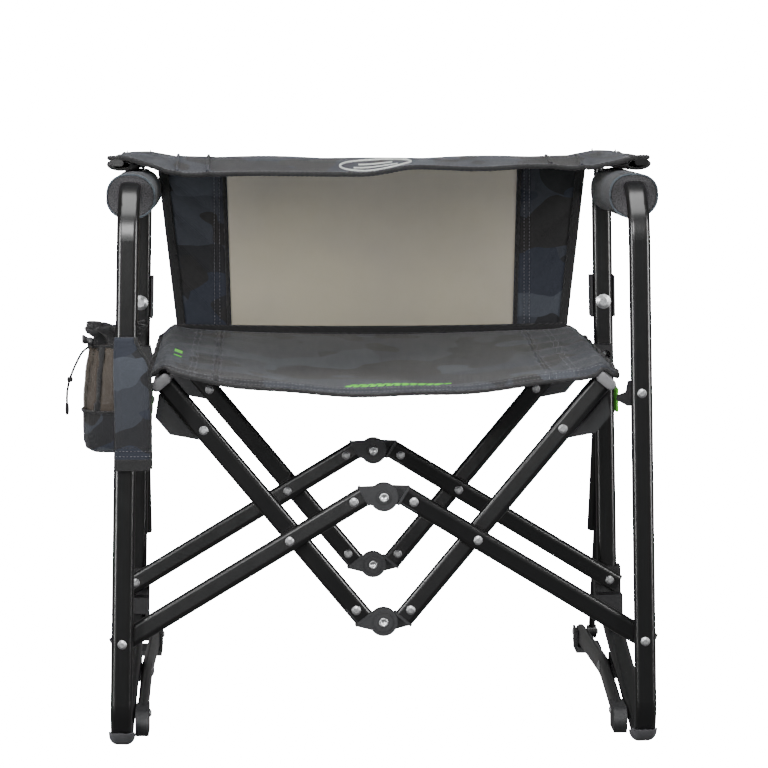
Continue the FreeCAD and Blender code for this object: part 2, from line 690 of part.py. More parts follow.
def turned(side, origin, way, y):
    """A placement that sends local Z along a way in the XZ plane."""
    start = Vector(side * origin.x, y, origin.z)
    heading = Vector(side * way.x, 0, way.z)
    angle = math.degrees(math.atan2(heading.x, heading.z))
    return Placement(start, Rotation(Vector(0, 1, 0), angle))


def link(name, side, y):
    """A lower link: flat-oval tube from the leg pivot to the upper hub."""
    start = Vector(LINK_FOOT[0], 0, LINK_FOOT[1]) - LINK_WAY * END_MARGIN
    cross_at, _ = direction(LINK_FOOT, CROSS)
    holes = [(f"{END_MARGIN}", RIVET_BORE, 12), (f"{END_MARGIN + cross_at:.4f}", RIVET_BORE, 200),
             (f"{END_MARGIN + LINK_REACH:.4f}", RIVET_BORE, 300)]
    length = f"{2 * END_MARGIN + LINK_REACH:.4f} mm"
    return oval_tube(name, length, holes, turned(side, start, LINK_WAY, y))


def along_diagonal(point):
    """Distance of a point from the diagonal's lower rivet, measured along the tube."""
    run = Vector(point[0] - DIAGONAL_RIVET[0], 0, point[1] - DIAGONAL_RIVET[1])
    return run.dot(DIAGONAL_WAY)


def diagonal(name, side, y):
    """A diagonal: flat-oval tube from the lower hub up to the seat rail's underside."""
    start = Vector(DIAGONAL_RIVET[0], 0, DIAGONAL_RIVET[1]) - DIAGONAL_WAY * END_MARGIN
    top = along_diagonal(RAIL) - size("tube_thick") / 2 - 0.3
    length = f"{END_MARGIN + top:.4f} mm"
    holes = [(f"{END_MARGIN}", RIVET_BORE, 12), (f"{END_MARGIN + DIAGONAL_REACH:.4f}", RIVET_BORE, 280)]
    tube = oval_tube(name, length, holes, turned(side, start, DIAGONAL_WAY, y))
    nodes.remove(tube)
    tube.Label = name + "_stock"
    pivot = cylinder(name + "_pivot_bore", "rivet_shank / 2 + pin_fit", "tube_wide",
                     at(side * CROSS[0], y - 12, CROSS[1], REARWARD))
    return node(cut(name, tube, pivot), name)


def hub(name, side, pin, rivet_point, way, layers):
    """Two moulded hub ends: each a half-thick disc round the pin and a plug in the tube's end."""
    shapes = []
    wide, thick, wall = size("tube_wide"), size("tube_thick"), size("wall")
    radius, half = size("hub_radius"), size("hub_half")
    rivet_at = Vector(rivet_point[0], 0, rivet_point[1])
    tube_end = rivet_at - way * END_MARGIN
    centre = Vector(pin[0], 0, pin[1])
    for y in layers:
        low = y - half - 0.2 if side < 0 else y + 0.2
        disc = Part.makeCylinder(radius, half, Vector(0, low, 0) + centre, Vector(0, 1, 0))
        square = way.cross(Vector(0, 1, 0))
        root = tube_end - way * 2
        corners = [root + square * (wide / 2), root - square * (wide / 2),
                   centre - square * (radius * 0.94), centre + square * (radius * 0.94)]
        outline = Part.makePolygon([corner + Vector(0, low, 0) for corner in corners + corners[:1]])
        neck = Part.Face(outline).extrude(Vector(0, half, 0))
        collar = Part.makeBox(wide, thick, 3)
        plug = Part.makeBox(wide - 2 * wall - 5.4, thick - 2 * wall - 0.5, 22)
        turn = Rotation(Vector(0, 0, 1), way)
        collar.Placement = Placement(
            tube_end - way * 3.3 + Vector(0, y, 0), square_turn(way))
        collar.translate(square_turn(way).multVec(Vector(-wide / 2, -thick / 2, 0)))
        plug.Placement = Placement(tube_end - way * 1.0 + Vector(0, y, 0), square_turn(way))
        plug.translate(square_turn(way).multVec(
            Vector(-(wide - 2 * wall - 5.4) / 2, -(thick - 2 * wall - 0.5) / 2, 0)))
        other = y - 0.1 if side < 0 else y - thick
        clear = Part.makeCylinder(radius + 0.4, thick + 0.1, Vector(0, other, 0) + centre, Vector(0, 1, 0))
        shape = disc.fuse([neck, collar.cut(clear), plug.cut(clear)])
        fit = size("pin_fit")
        shape = drilled(shape, rivet_at + Vector(0, y, 0), (0, 1, 0), BOLT_RADIUS + fit, 40)
        shapes.append((shape, centre + Vector(0, y, 0)))
    return shapes


def square_turn(way):
    """The rotation that sends local Z along a way of the XZ plane and keeps Y."""
    return Rotation(Vector(0, 1, 0), math.degrees(math.atan2(way.x, way.z)))


def mirrored(shape, side):
    """The shape, or its mirror image on the left side."""
    return shape.mirror(Vector(0, 0, 0), Vector(1, 0, 0)) if side < 0 else shape


def hubs(name, side, pin, rivet_point, way, layers, pinned):
    """The front and rear hub ends of one side; the left ones hold the pin, the right ones turn on it."""
    shapes = []
    fit = size("pin_fit") if pinned else size("open_fit")
    for shape, centre in hub(name, side, pin, rivet_point, way, layers):
        if side < 0:
            post = Part.makeCylinder(BOLT_RADIUS, 13, centre - Vector(0, 6.5, 0), Vector(0, 1, 0))
            cap = 7.5 if pinned else 11
            head = Part.makeCylinder(cap, 1.6, centre - Vector(0, 7.4, 0), Vector(0, 1, 0))
            shape = shape.fuse([post, head])
        else:
            shape = drilled(shape, centre, (0, 1, 0), BOLT_RADIUS + fit, 40)
        shapes.append(mirrored(shape, side))
    return feature(name, Part.makeCompound(shapes))


def link_rivets(name, side):
    """The rivets carried by a side's links: leg pivots and hub rivets."""
    half = size("tube_thick") / 2
    shapes = []
    front, rear = size("link_front_y"), size("link_rear_y")
    leg = half + 0.3
    foot = (side * LINK_FOOT[0], LINK_FOOT[1])
    shapes.append(rivet(Vector(foot[0], -leg, foot[1]), (0, 1, 0), front + half + leg))
    grip = size("rear_leg_y") + leg - (rear - half)
    shapes.append(rivet(Vector(foot[0], rear - half, foot[1]), (0, 1, 0), grip))
    for y in (front, rear):
        start = Vector(side * LINK_RIVET[0], y - half, LINK_RIVET[1])
        shapes.append(rivet(start, (0, 1, 0), 2 * half))
    return grouped(name, shapes)


def cross_rivets(name, side):
    """The rivets carried by a side's diagonals: crossings, hub rivets and gusset rivets."""
    half = size("tube_thick") / 2
    shapes = []
    for near, far in ((size("link_front_y"), size("diagonal_front_y")),
                      (size("link_rear_y"), size("diagonal_rear_y"))):
        start = Vector(side * CROSS[0], near - half - 0.3, CROSS[1])
        shapes.append(rivet(start, (0, 1, 0), far - near + 2 * half + 0.3))
        start = Vector(side * DIAGONAL_RIVET[0], far - half, DIAGONAL_RIVET[1])
        shapes.append(rivet(start, (0, 1, 0), 2 * half))
        start = Vector(side * GUSSET_RIVET[0], far - half, GUSSET_RIVET[1])
        shapes.append(rivet(start, (0, 1, 0), 2 * half + GUSSET_THICK + 0.2))
    return grouped(name, shapes)


GUSSET_THICK = 2.4


def seat_rail(name, side):
    """The flat-oval rail along one side of the seat, square to the diagonals."""
    body = doc.addObject("PartDesign::Body", f"{name}_tube")
    profile = new_sketch(body, "XZ_Plane")
    draw_oval(profile, "tube_wide", "tube_thick")
    draw_oval(profile, "tube_wide - 2 * wall", "tube_thick - 2 * wall")
    pad = body.newObject("PartDesign::Pad", "tube")
    pad.Profile = profile
    pad.Reversed = True
    bind(pad, Length="rail_length")
    angle = math.degrees(math.atan2(DIAGONAL_WAY.x, DIAGONAL_WAY.z))
    turn = Rotation(Vector(0, 1, 0), side * angle)
    body.Placement = at(side * RAIL[0], size("rail_front_y"), RAIL[1], turn)
    plugs = rail_plugs(f"{name}_plugs", side)
    joined = doc.addObject("Part::Compound", f"{name}_set")
    joined.Links = [body, *plugs]
    return node(joined, name)


def rail_plugs(name, side):
    """The moulded plugs in the two ends of a seat rail."""
    angle = math.degrees(math.atan2(DIAGONAL_WAY.x, DIAGONAL_WAY.z))
    turn = Rotation(Vector(0, 1, 0), side * angle)
    wide, thick, wall = size("tube_wide"), size("tube_thick"), size("wall")
    shapes = []
    for y, way in ((0, -1), (size("rail_length"), 1)):
        flange = Part.Face(oval_wire(Vector(0, y, 0), Vector(0, 1, 0), Vector(1, 0, 0), wide, thick))
        core = Part.Face(oval_wire(Vector(0, y, 0), Vector(0, 1, 0), Vector(1, 0, 0),
                                   wide - 2 * wall - 0.2, thick - 2 * wall - 0.2))
        plug = doc.addObject("Part::Feature", f"{name}_{y:.0f}")
        plug.Shape = flange.extrude(Vector(0, way * 2.6, 0)).fuse(core.extrude(Vector(0, -way * 12, 0)))
        plug.Placement = at(side * RAIL[0], size("rail_front_y"), RAIL[1], turn)
        shapes.append(plug)
    return shapes


def gussets(name, side):
    """The pressed plates behind the diagonals' tops, front and rear."""
    shapes = []
    way, square = DIAGONAL_WAY, Vector(0, 1, 0).cross(DIAGONAL_WAY)
    base = Vector(GUSSET_RIVET[0], 0, GUSSET_RIVET[1])
    outline = [base - way * 9 - square * 11, base - way * 9 + square * 10,
               base + way * 20 + square * 34, base + way * 46 + square * 34,
               base + way * 64 + square * 14, base + way * 64 - square * 11]
    for y in (size("diagonal_front_y"), size("diagonal_rear_y")):
        low = y + size("tube_thick") / 2 + 0.1
        wire = Part.makePolygon([point + Vector(0, low, 0) for point in outline + outline[:1]])
        plate = Part.Face(wire).extrude(Vector(0, GUSSET_THICK, 0))
        rivet_at = Vector(GUSSET_RIVET[0], low, GUSSET_RIVET[1])
        shapes.append(mirrored(drilled(plate, rivet_at, (0, 1, 0), RIVET_HOLE, 20), side))
    return feature(name, Part.makeCompound(shapes))


# ---------------------------------------------------------------- soft goods

def seat(name):
    """The seat fabric: a sagging sheet over both rails."""
    edge, sag, half, thick = size("seat_edge"), size("seat_sag"), size("seat_half"), size("sheet")
    lower = Part.Arc(Vector(-half, 0, edge), Vector(0, 0, edge - sag), Vector(half, 0, edge))
    upper = Part.Arc(Vector(half, 0, edge + thick), Vector(0, 0, edge - sag + thick),
                     Vector(-half, 0, edge + thick))
    outline = Part.Wire([
        lower.toShape(), Part.LineSegment(Vector(half, 0, edge), Vector(half, 0, edge + thick)).toShape(),
        upper.toShape(), Part.LineSegment(Vector(-half, 0, edge + thick), Vector(-half, 0, edge)).toShape()])
    cloth = Part.Face(outline).extrude(Vector(0, size("seat_long"), 0))
    cloth.translate(Vector(0, size("seat_front_y"), 0))
    return feature(name, cloth)


def back_panel(name):
    """The lower back fabric, from the seat's rear edge up to the backrest's fold."""
    low, high = size("panel_low_half"), size("panel_high_half")
    low_z, high_z = size("panel_low_z"), size("panel_high_z")
    foot_y, head_y = size("panel_low_y"), size("panel_high_y")
    corners = [Vector(-low, foot_y, low_z + 2), Vector(low, foot_y, low_z + 2),
               Vector(high, head_y, high_z), Vector(-high, head_y, high_z)]
    face = Part.Face(Part.makePolygon(corners + corners[:1]))
    return feature(name, face.extrude(Vector(0, size("sheet"), 0)))


def back_flap(name):
    """The upper back fabric, folded forward over the armrests, its top hem turned down."""
    front, rear = size("back_arm_front_y"), size("post_y")
    low = size("fold_axis_z")
    outline = [(front, low + 1), (front + 75, low + 15), (rear, low + 2), (rear, low + 6),
               (front + 74, low + 20), (front - 3, low + 3.5)]
    wire = Part.makePolygon([Vector(0, y, z) for y, z in outline + outline[:1]])
    half = frame_x(size("arm_height")) - size("arm_pad_wide") / 2 - 7
    shape = Part.Face(wire).extrude(Vector(2 * half, 0, 0))
    shape.translate(Vector(-half, 0, 0))
    span = size("back_arm_front_x") + size("back_arm_wide") / 2
    over = size("back_arm_thick") / 2 + 0.7
    front_z, rear_z = size("back_arm_front_z") + over, size("arm_hinge_z") + over + 0.4
    sleeve = [(front, front_z), (rear - 12, rear_z), (rear - 12, rear_z + 3), (front, front_z + 3)]
    wire = Part.makePolygon([Vector(0, y, z) for y, z in sleeve + sleeve[:1]])
    for start in (-span, half - 4):
        wing = Part.Face(wire).extrude(Vector(span - half + 4, 0, 0))
        shape = shape.fuse(wing.translated(Vector(start, 0, 0)))
    return feature(name, shape.removeSplitter())


def cup_holder(name):
    """The drawstring cup holder: an open-topped sleeve with a closed bottom."""
    radius, low, high = size("cup_radius"), size("cup_low"), size("cup_high")
    centre = Vector(-size("cup_x"), size("cup_y"), low)
    sleeve = Part.makeCylinder(radius, high - low, centre)
    room = Part.makeCylinder(radius - 3, high - low, centre + Vector(0, 0, 4))
    return feature(name, sleeve.cut(room))


def phone_pocket(name):
    """The flat fabric pocket that hangs on the left front leg."""
    wide, low, high, deep = (size("pocket_wide"), size("pocket_low"), size("pocket_high"),
                             size("pocket_deep"))
    front = -size("tube_thick") / 2 - 3.2 - deep
    corner = Vector(-size("pocket_x") - wide / 2, front, low)
    outer = Part.makeBox(wide, deep, high - low, corner)
    outer = outer.makeFillet(4, [edge for edge in outer.Edges if abs(edge.tangentAt(0).z) > 0.9])
    room = Part.makeBox(wide - 4, deep - 4, high - low, corner + Vector(2, 2, 4))
    return feature(name, outer.cut(room))


def drawstring(name):
    """The cup holder's free drawstring: straight runs joined by wide arcs, then its knot end."""
    points = [Vector(*point) for point in DRAWSTRING]
    radii = []
    for index in range(1, len(points) - 1):
        into = points[index] - points[index - 1]
        out = points[index + 1] - points[index]
        turn = into.getAngle(out)
        radii.append(0.45 * min(into.Length, out.Length) / math.tan(turn / 2))
    path = rounded_path(points, radii)
    radius = 1.4
    first = path.Edges[0]
    circle = Part.Wire([Part.Circle(points[0], first.tangentAt(first.FirstParameter), radius).toShape()])
    tube = path.makePipeShell([circle], True, False)
    expected = math.pi * radius ** 2 * path.Length
    print("drawstring length", round(path.Length, 1), "radii", [round(r, 1) for r in radii],
          "volume ratio", round(tube.Volume / expected, 4))
    return feature(name, tube)


DRAWSTRING = ((-336, 28, 466), (-342, 24, 463), (-347, 21, 455), (-352, 19, 445), (-356.5, 18, 434),
              (-360, 17.5, 422), (-361.5, 18, 409), (-361, 18.5, 396))

# ---------------------------------------------------------------- the chair

LAYERS_LINK = (size("link_front_y"), size("link_rear_y"))
LAYERS_DIAGONAL = (size("diagonal_front_y"), size("diagonal_rear_y"))
for label, side in SIDES:
    side_frame(f"{label}_side_frame", side)
    foot_pad(f"{label}_front_foot_pad", side)
    arm_pad(f"{label}_arm_pad", side)
    corner_bracket(f"{label}_corner_bracket", side)
    rail_saddles(f"{label}_rail_saddles", side)
    rocker_block(f"{label}_rocker_block", side)
    frame_rivets(f"{label}_frame_bolts", side)
    strut_hub(f"{label}_strut_hub", side)
    back_bracket(f"{label}_back_bracket", side)
    back_post(f"{label}_back_post", side)
    back_arm(f"{label}_back_arm", side)
    strut_tube(f"{label}_strut_tube", side)
    strut_rod(f"{label}_strut_rod", side)
    ground_bar(f"{label}_ground_bar", side)
    glide_foot(f"{label}_glide_foot", side)
    rear_foot(f"{label}_rear_foot", side)
    ground_bolts(f"{label}_ground_bolts", side)
    link(f"{label}_front_link", side, size("link_front_y"))
    link(f"{label}_rear_link", side, size("link_rear_y"))
    hubs(f"{label}_upper_hubs", side, (0, size("hub_high")), LINK_RIVET, LINK_WAY * -1, LAYERS_LINK, True)
    link_rivets(f"{label}_link_rivets", side)
    diagonal(f"{label}_front_diagonal", side, size("diagonal_front_y"))
    diagonal(f"{label}_rear_diagonal", side, size("diagonal_rear_y"))
    hubs(f"{label}_lower_hubs", side, (0, size("hub_low")), DIAGONAL_RIVET, DIAGONAL_WAY,
         LAYERS_DIAGONAL, False)
    cross_rivets(f"{label}_cross_rivets", side)
    seat_rail(f"{label}_seat_rail", side)
    gussets(f"{label}_gussets", side)

seat("seat_sling")
back_panel("back_panel")
back_flap("back_flap")
cup_holder("cup_holder")
phone_pocket("phone_pocket")
drawstring("cup_drawstring")

shift = at(size("origin_x"), size("origin_y"), 0)
for thing in nodes:
    thing.Placement = shift.multiply(thing.Placement)
doc.recompute()
for thing in doc.Objects:
    if "Invalid" in thing.State or "Error" in thing.State:
        raise RuntimeError(f"{thing.Label} failed: {thing.State}")
os.makedirs("parts", exist_ok=True)
for thing in nodes:
    if thing.Shape.isNull() or not thing.Shape.isValid():
        raise RuntimeError(f"{thing.Label} has no valid shape")
    thing.Shape.exportStep(f"parts/{thing.Label}.step")
print(len(nodes), "parts written")
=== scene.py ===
"""Looks of the camp rocking chair: fabrics, pads, trims, materials, light and camera."""
import bpy
import bmesh
import math
import random
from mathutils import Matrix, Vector


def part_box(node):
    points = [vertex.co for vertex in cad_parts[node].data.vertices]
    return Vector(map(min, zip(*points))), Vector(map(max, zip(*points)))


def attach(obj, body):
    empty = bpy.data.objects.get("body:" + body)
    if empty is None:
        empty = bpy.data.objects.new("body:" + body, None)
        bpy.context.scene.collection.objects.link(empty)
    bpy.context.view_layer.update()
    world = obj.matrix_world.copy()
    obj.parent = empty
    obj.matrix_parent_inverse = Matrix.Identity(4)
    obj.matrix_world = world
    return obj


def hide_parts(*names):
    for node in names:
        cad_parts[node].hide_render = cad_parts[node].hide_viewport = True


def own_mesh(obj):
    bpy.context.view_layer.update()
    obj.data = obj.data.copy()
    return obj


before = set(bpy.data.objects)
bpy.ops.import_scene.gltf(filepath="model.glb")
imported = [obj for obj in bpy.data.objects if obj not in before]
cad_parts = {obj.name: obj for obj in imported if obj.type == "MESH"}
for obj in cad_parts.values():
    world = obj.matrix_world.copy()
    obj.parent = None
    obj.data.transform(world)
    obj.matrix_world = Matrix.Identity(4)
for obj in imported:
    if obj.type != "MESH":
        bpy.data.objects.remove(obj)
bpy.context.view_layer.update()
MM = 0.001
TAU = 2 * math.pi
rng = random.Random(7)

# The working frame of the CAD part: X = 0 is the symmetry plane, Y = 0 the front legs' plane.
SEAT_LOW, SEAT_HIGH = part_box("seat_sling")
MID_X = (SEAT_LOW.x + SEAT_HIGH.x) / 2
TUBE_HALF = 6.25
FRONT_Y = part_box("left_side_frame")[0].y + TUBE_HALF * MM
SIDES = (("left", -1), ("right", 1))


def place(x, y, z):
    """A point of the working frame, in millimetres, as a point of the row frame in metres."""
    return Vector((MID_X + x * MM, FRONT_Y + y * MM, z * MM))


def smoothstep(low, high, value):
    """0 below low, 1 above high, smooth between."""
    t = min(1.0, max(0.0, (value - low) / (high - low)))
    return t * t * (3 - 2 * t)


# ---------------------------------------------------------------- materials

class Look:
    """A small builder for one node material."""

    def __init__(self, name, roughness=0.6, metallic=0.0, specular=0.5):
        self.material = bpy.data.materials.new(name)
        self.material.use_nodes = True
        self.nodes = self.material.node_tree.nodes
        self.links = self.material.node_tree.links
        self.shader = self.nodes["Principled BSDF"]
        self.shader.inputs["Roughness"].default_value = roughness
        self.shader.inputs["Metallic"].default_value = metallic
        self.shader.inputs["Specular IOR Level"].default_value = specular
        self.coords = self.nodes.new("ShaderNodeTexCoord").outputs["Object"]
        self.height = None

    def color(self, rgb):
        self.shader.inputs["Base Color"].default_value = (*rgb, 1)
        return self

    def noise(self, scale, detail=4, roughness=0.5, stretch=None, shift=(0, 0, 0)):
        node = self.nodes.new("ShaderNodeTexNoise")
        node.inputs["Scale"].default_value = scale
        node.inputs["Detail"].default_value = detail
        node.inputs["Roughness"].default_value = roughness
        self.links.new(self.stretched(stretch, shift), node.inputs["Vector"])
        return node.outputs["Fac"]

    def stretched(self, stretch, shift=(0, 0, 0)):
        if stretch is None:
            return self.coords
        node = self.nodes.new("ShaderNodeMapping")
        node.inputs["Scale"].default_value = stretch
        node.inputs["Location"].default_value = shift
        self.links.new(self.coords, node.inputs["Vector"])
        return node.outputs["Vector"]

    def wave(self, scale, axis):
        node = self.nodes.new("ShaderNodeTexWave")
        node.bands_direction = axis
        node.inputs["Scale"].default_value = scale
        node.inputs["Distortion"].default_value = 0.4
        self.links.new(self.coords, node.inputs["Vector"])
        return node.outputs["Fac"]

    def ramp(self, source, stops, constant=False):
        node = self.nodes.new("ShaderNodeValToRGB")
        if constant:
            node.color_ramp.interpolation = "CONSTANT"
        elements = node.color_ramp.elements
        while len(elements) < len(stops):
            elements.new(0.5)
        for element, (position, rgb) in zip(elements, stops):
            element.position = position
            element.color = (*rgb, 1)
        self.links.new(source, node.inputs["Fac"])
        return node.outputs["Color"]

    def mix(self, factor, first, second, mode="MIX"):
        node = self.nodes.new("ShaderNodeMix")
        node.data_type = "RGBA"
        node.blend_type = mode
        for socket, value in ((node.inputs["Factor"], factor), (node.inputs["A"], first),
                              (node.inputs["B"], second)):
            if isinstance(value, bpy.types.NodeSocket):
                self.links.new(value, socket)
            else:
                socket.default_value = value
        return node.outputs["Result"]

    def paint(self, source):
        self.links.new(source, self.shader.inputs["Base Color"])
        return self

    def roughen(self, source, low, high):
        node = self.nodes.new("ShaderNodeMapRange")
        node.inputs["To Min"].default_value = low
        node.inputs["To Max"].default_value = high
        self.links.new(source, node.inputs["Value"])
        self.links.new(node.outputs["Result"], self.shader.inputs["Roughness"])
        return self

    def bump(self, source, strength, distance):
        node = self.nodes.new("ShaderNodeBump")
        node.inputs["Strength"].default_value = strength
        node.inputs["Distance"].default_value = distance
        self.links.new(source, node.inputs["Height"])
        if self.height is not None:
            self.links.new(self.height, node.inputs["Normal"])
        self.height = node.outputs["Normal"]
        self.links.new(self.height, self.shader.inputs["Normal"])
        return self

    def weave(self, threads_x, threads_z, strength=0.35, distance=0.0003):
        """Crossing threads in three directions, so that flat and upright cloth both show them."""
        self.bump(self.wave(threads_x, "X"), strength, distance)
        self.bump(self.wave(threads_z, "Z"), strength, distance)
        self.bump(self.wave(threads_z, "Y"), strength, distance)
        return self

    def see_through(self, alpha):
        self.shader.inputs["Alpha"].default_value = alpha
        return self

    def sheen(self, amount):
        self.shader.inputs["Sheen Weight"].default_value = amount
        self.shader.inputs["Sheen Roughness"].default_value = 0.5
        return self


def steel_look():
    look = Look("black_powder_coat", 0.3, 0.0, 0.5).color((0.0022, 0.0022, 0.0024))
    look.shader.inputs["Coat Weight"].default_value = 0.3
    look.shader.inputs["Coat Roughness"].default_value = 0.2
    look.roughen(look.noise(60, 3), 0.27, 0.34)
    return look.bump(look.noise(900, 2), 0.03, 0.0001)


def rivet_look():
    look = Look("zinc_rivet", 0.34, 0.95)
    look.paint(look.ramp(look.noise(500, 3), [(0.3, (0.42, 0.43, 0.44)), (0.7, (0.72, 0.73, 0.74))]))
    return look.roughen(look.noise(700, 3), 0.25, 0.48).bump(look.noise(900, 2), 0.2, 0.0002)


def plastic_look(name, rgb, roughness=0.52):
    look = Look(name, roughness, 0.0, 0.45)
    darker = tuple(value * 0.8 for value in rgb)
    look.paint(look.ramp(look.noise(140, 4), [(0.3, darker), (0.7, rgb)]))
    return look.roughen(look.noise(300, 3), roughness - 0.08, roughness + 0.1).bump(
        look.noise(2200, 3), 0.25, 0.0002)


CAMO_GROUND = (0.026, 0.030, 0.040)
# Each patch layer: its colour, the noise level above which it shows, and where its noise is taken.
CAMO_PATCHES = (((0.0085, 0.0090, 0.0115), 0.53, (0.0, 0.0, 0.0)),
                ((0.015, 0.019, 0.031), 0.57, (3.7, 1.9, 5.1)),
                ((0.042, 0.049, 0.063), 0.60, (8.3, 6.1, 2.4)),
                ((0.011, 0.0105, 0.011), 0.62, (1.7, 9.2, 7.7)))


def camo_look(name, lift, scale=9.0):
    """Printed cloth: hard-edged patches of black, navy and slate laid one over another."""
    look = Look(name, 0.78, 0.0, 0.3)
    print_tone = (*(lift * value for value in CAMO_GROUND), 1)
    for rgb, threshold, shift in CAMO_PATCHES:
        where = look.ramp(look.noise(scale, 2.0, 0.4, (1.0, 0.8, 1.4), shift),
                          [(0.0, (0.0,) * 3), (threshold, (1.0,) * 3)], constant=True)
        print_tone = look.mix(where, print_tone, (*(lift * value for value in rgb), 1))
    threads = look.ramp(look.noise(1800, 2), [(0.3, (0.82, 0.82, 0.82)), (0.7, (1.14, 1.14, 1.14))])
    look.paint(look.mix(1.0, print_tone, threads, "MULTIPLY"))
    look.sheen(0.1)
    look.bump(look.noise(26, 4), 0.22, 0.004)
    return look.weave(420, 420)


def dark_cloth_look(name, rgb, roughness=0.85):
    look = Look(name, roughness, 0.0, 0.25)
    bright = tuple(value * 1.5 for value in rgb)
    look.paint(look.ramp(look.noise(900, 3), [(0.35, rgb), (0.65, bright)]))
    look.sheen(0.1)
    return look.weave(500, 500, 0.5, 0.0004)


def mesh_look(name, rgb, alpha):
    """Open net: thread colour with a tight grid, and a little see-through."""
    look = Look(name, 0.8, 0.0, 0.25)
    dark = tuple(value * 0.72 for value in rgb)
    grid = look.mix(1.0, look.wave(520, "X"), look.wave(520, "Z"), "MULTIPLY")
    tone = look.ramp(grid, [(0.0, dark), (0.55, rgb)])
    cloud = look.ramp(look.noise(7, 3), [(0.35, (0.93, 0.92, 0.95)), (0.65, (1.05, 1.04, 1.0))])
    look.paint(look.mix(1.0, tone, cloud, "MULTIPLY"))
    look.bump(grid, 0.4, 0.0003)
    return look.see_through(alpha)


def foam_look():
    look = Look("speckled_foam", 0.92, 0.0, 0.2)
    look.paint(look.ramp(look.noise(700, 5, 0.7), [(0.35, (0.011, 0.011, 0.012)),
                                                              (0.6, (0.060, 0.059, 0.062))]))
    return look.bump(look.noise(600, 4), 0.7, 0.0008)


STEEL = steel_look().material
RIVET = rivet_look().material
PLASTIC = plastic_look("charcoal_plastic", (0.018, 0.0185, 0.020)).material
BLACK_PLASTIC = plastic_look("black_plastic", (0.010, 0.010, 0.011), 0.45).material
GREY_PLASTIC = plastic_look("grey_cap_plastic", (0.13, 0.13, 0.135), 0.4).material
GREEN = plastic_look("green_plastic", (0.10, 0.42, 0.035), 0.45).material
RUBBER = plastic_look("grey_rubber", (0.085, 0.085, 0.092), 0.62).material
CAMO_CLOTH = camo_look("night_camo", 0.66).material
FLAP_CLOTH = camo_look("flap_camo", 0.72, 10.0).material
PAD_CLOTH = camo_look("pad_camo", 0.42, 13.0).material
POCKET_CLOTH = camo_look("pocket_camo", 0.66, 11.0).material
BINDING = dark_cloth_look("black_binding", (0.0095, 0.0095, 0.0100)).material
PIPING = dark_cloth_look("slate_piping", (0.045, 0.055, 0.065)).material
NET = mesh_look("taupe_net", (0.238, 0.214, 0.152), 0.94).material
DARK_NET = mesh_look("dark_net", (0.055, 0.045, 0.036), 0.84).material
RUFFLE = dark_cloth_look("ruffle_cloth", (0.007, 0.007, 0.0075)).material
FOAM = foam_look().material
STITCH = dark_cloth_look("grey_thread", (0.10, 0.10, 0.11), 0.7).material
CORD = dark_cloth_look("black_cord", (0.006, 0.006, 0.0065)).material
GREEN_THREAD = dark_cloth_look("green_thread", (0.10, 0.52, 0.035), 0.6).material
PALE_THREAD = dark_cloth_look("pale_thread", (0.42, 0.44, 0.42), 0.6).material

NODE_LOOKS = (("strut_hub", GREEN), ("foot_pad", RUBBER), ("bolts", RIVET), ("rivets", RIVET),
              ("hubs", PLASTIC), ("glide_foot", PLASTIC), ("rear_foot", PLASTIC),
              ("corner_bracket", BLACK_PLASTIC), ("saddles", BLACK_PLASTIC), ("rocker", BLACK_PLASTIC),
              ("back_bracket", BLACK_PLASTIC), ("gussets", PLASTIC))
for name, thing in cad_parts.items():
    material = next((look for word, look in NODE_LOOKS if word in name), STEEL)
    thing.data.materials.clear()
    thing.data.materials.append(material)


# ---------------------------------------------------------------- mesh helpers

def finish_piece(name, verts, faces, material, body, smooth=True, thickness=0.0):
    """A mesh piece from points in the row frame, riding on a body."""
    mesh = bpy.data.meshes.new(name)
    mesh.from_pydata([tuple(point) for point in verts], [], faces)
    mesh.materials.append(material)
    piece = bpy.data.objects.new(name, mesh)
    bpy.context.scene.collection.objects.link(piece)
    work = bmesh.new()
    work.from_mesh(mesh)
    bmesh.ops.recalc_face_normals(work, faces=work.faces)
    work.to_mesh(mesh)
    work.free()
    for polygon in mesh.polygons:
        polygon.use_smooth = smooth
    if thickness:
        solidify = piece.modifiers.new("cloth", "SOLIDIFY")
        solidify.thickness = thickness
        solidify.offset = 0.0
    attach(piece, body)
    return piece


def grid_piece(name, count_u, count_v, shape, material, body, thickness):
    """A sheet over a grid: shape(u, v) gives the point, with u and v from 0 to 1."""
    verts = [shape(i / count_u, j / count_v) for j in range(count_v + 1) for i in range(count_u + 1)]
    row = count_u + 1
    faces = [(j * row + i, j * row + i + 1, (j + 1) * row + i + 1, (j + 1) * row + i)
             for j in range(count_v) for i in range(count_u)]
    return finish_piece(name, verts, faces, material, body, True, thickness)


def loft_piece(name, rings, material, body, capped=True):
    """A shell through rings of points, its two ends closed unless capped is False."""
    count = len(rings[0])
    verts = [point for ring in rings for point in ring]
    faces = []
    for j in range(len(rings) - 1):
        for i in range(count):
            k = (i + 1) % count
            faces.append((j * count + i, j * count + k, (j + 1) * count + k, (j + 1) * count + i))
    if capped:
        faces.append(tuple(range(count)))
        faces.append(tuple((len(rings) - 1) * count + i for i in range(count)))
    return finish_piece(name, verts, faces, material, body)


def tube_piece(name, points, radius, material, body, ribs=0.0, sides=10, flat=1.0):
    """A bound edge or cord: a tube along points, its radius rippled by ribs."""
    rings = []
    for index, point in enumerate(points):
        before = points[max(0, index - 1)]
        after = points[min(len(points) - 1, index + 1)]
        along = (after - before).normalized()
        side = along.cross(Vector((0, 0, 1)))
        side = side.normalized() if side.length > 0.05 else Vector((1, 0, 0))
        up = side.cross(along).normalized()
        swell = radius * (1 + ribs * (index % 2))
        rings.append([point + side * math.cos(TAU * i / sides) * swell
                      + up * math.sin(TAU * i / sides) * swell * flat for i in range(sides)])
    return loft_piece(name, rings, material, body)


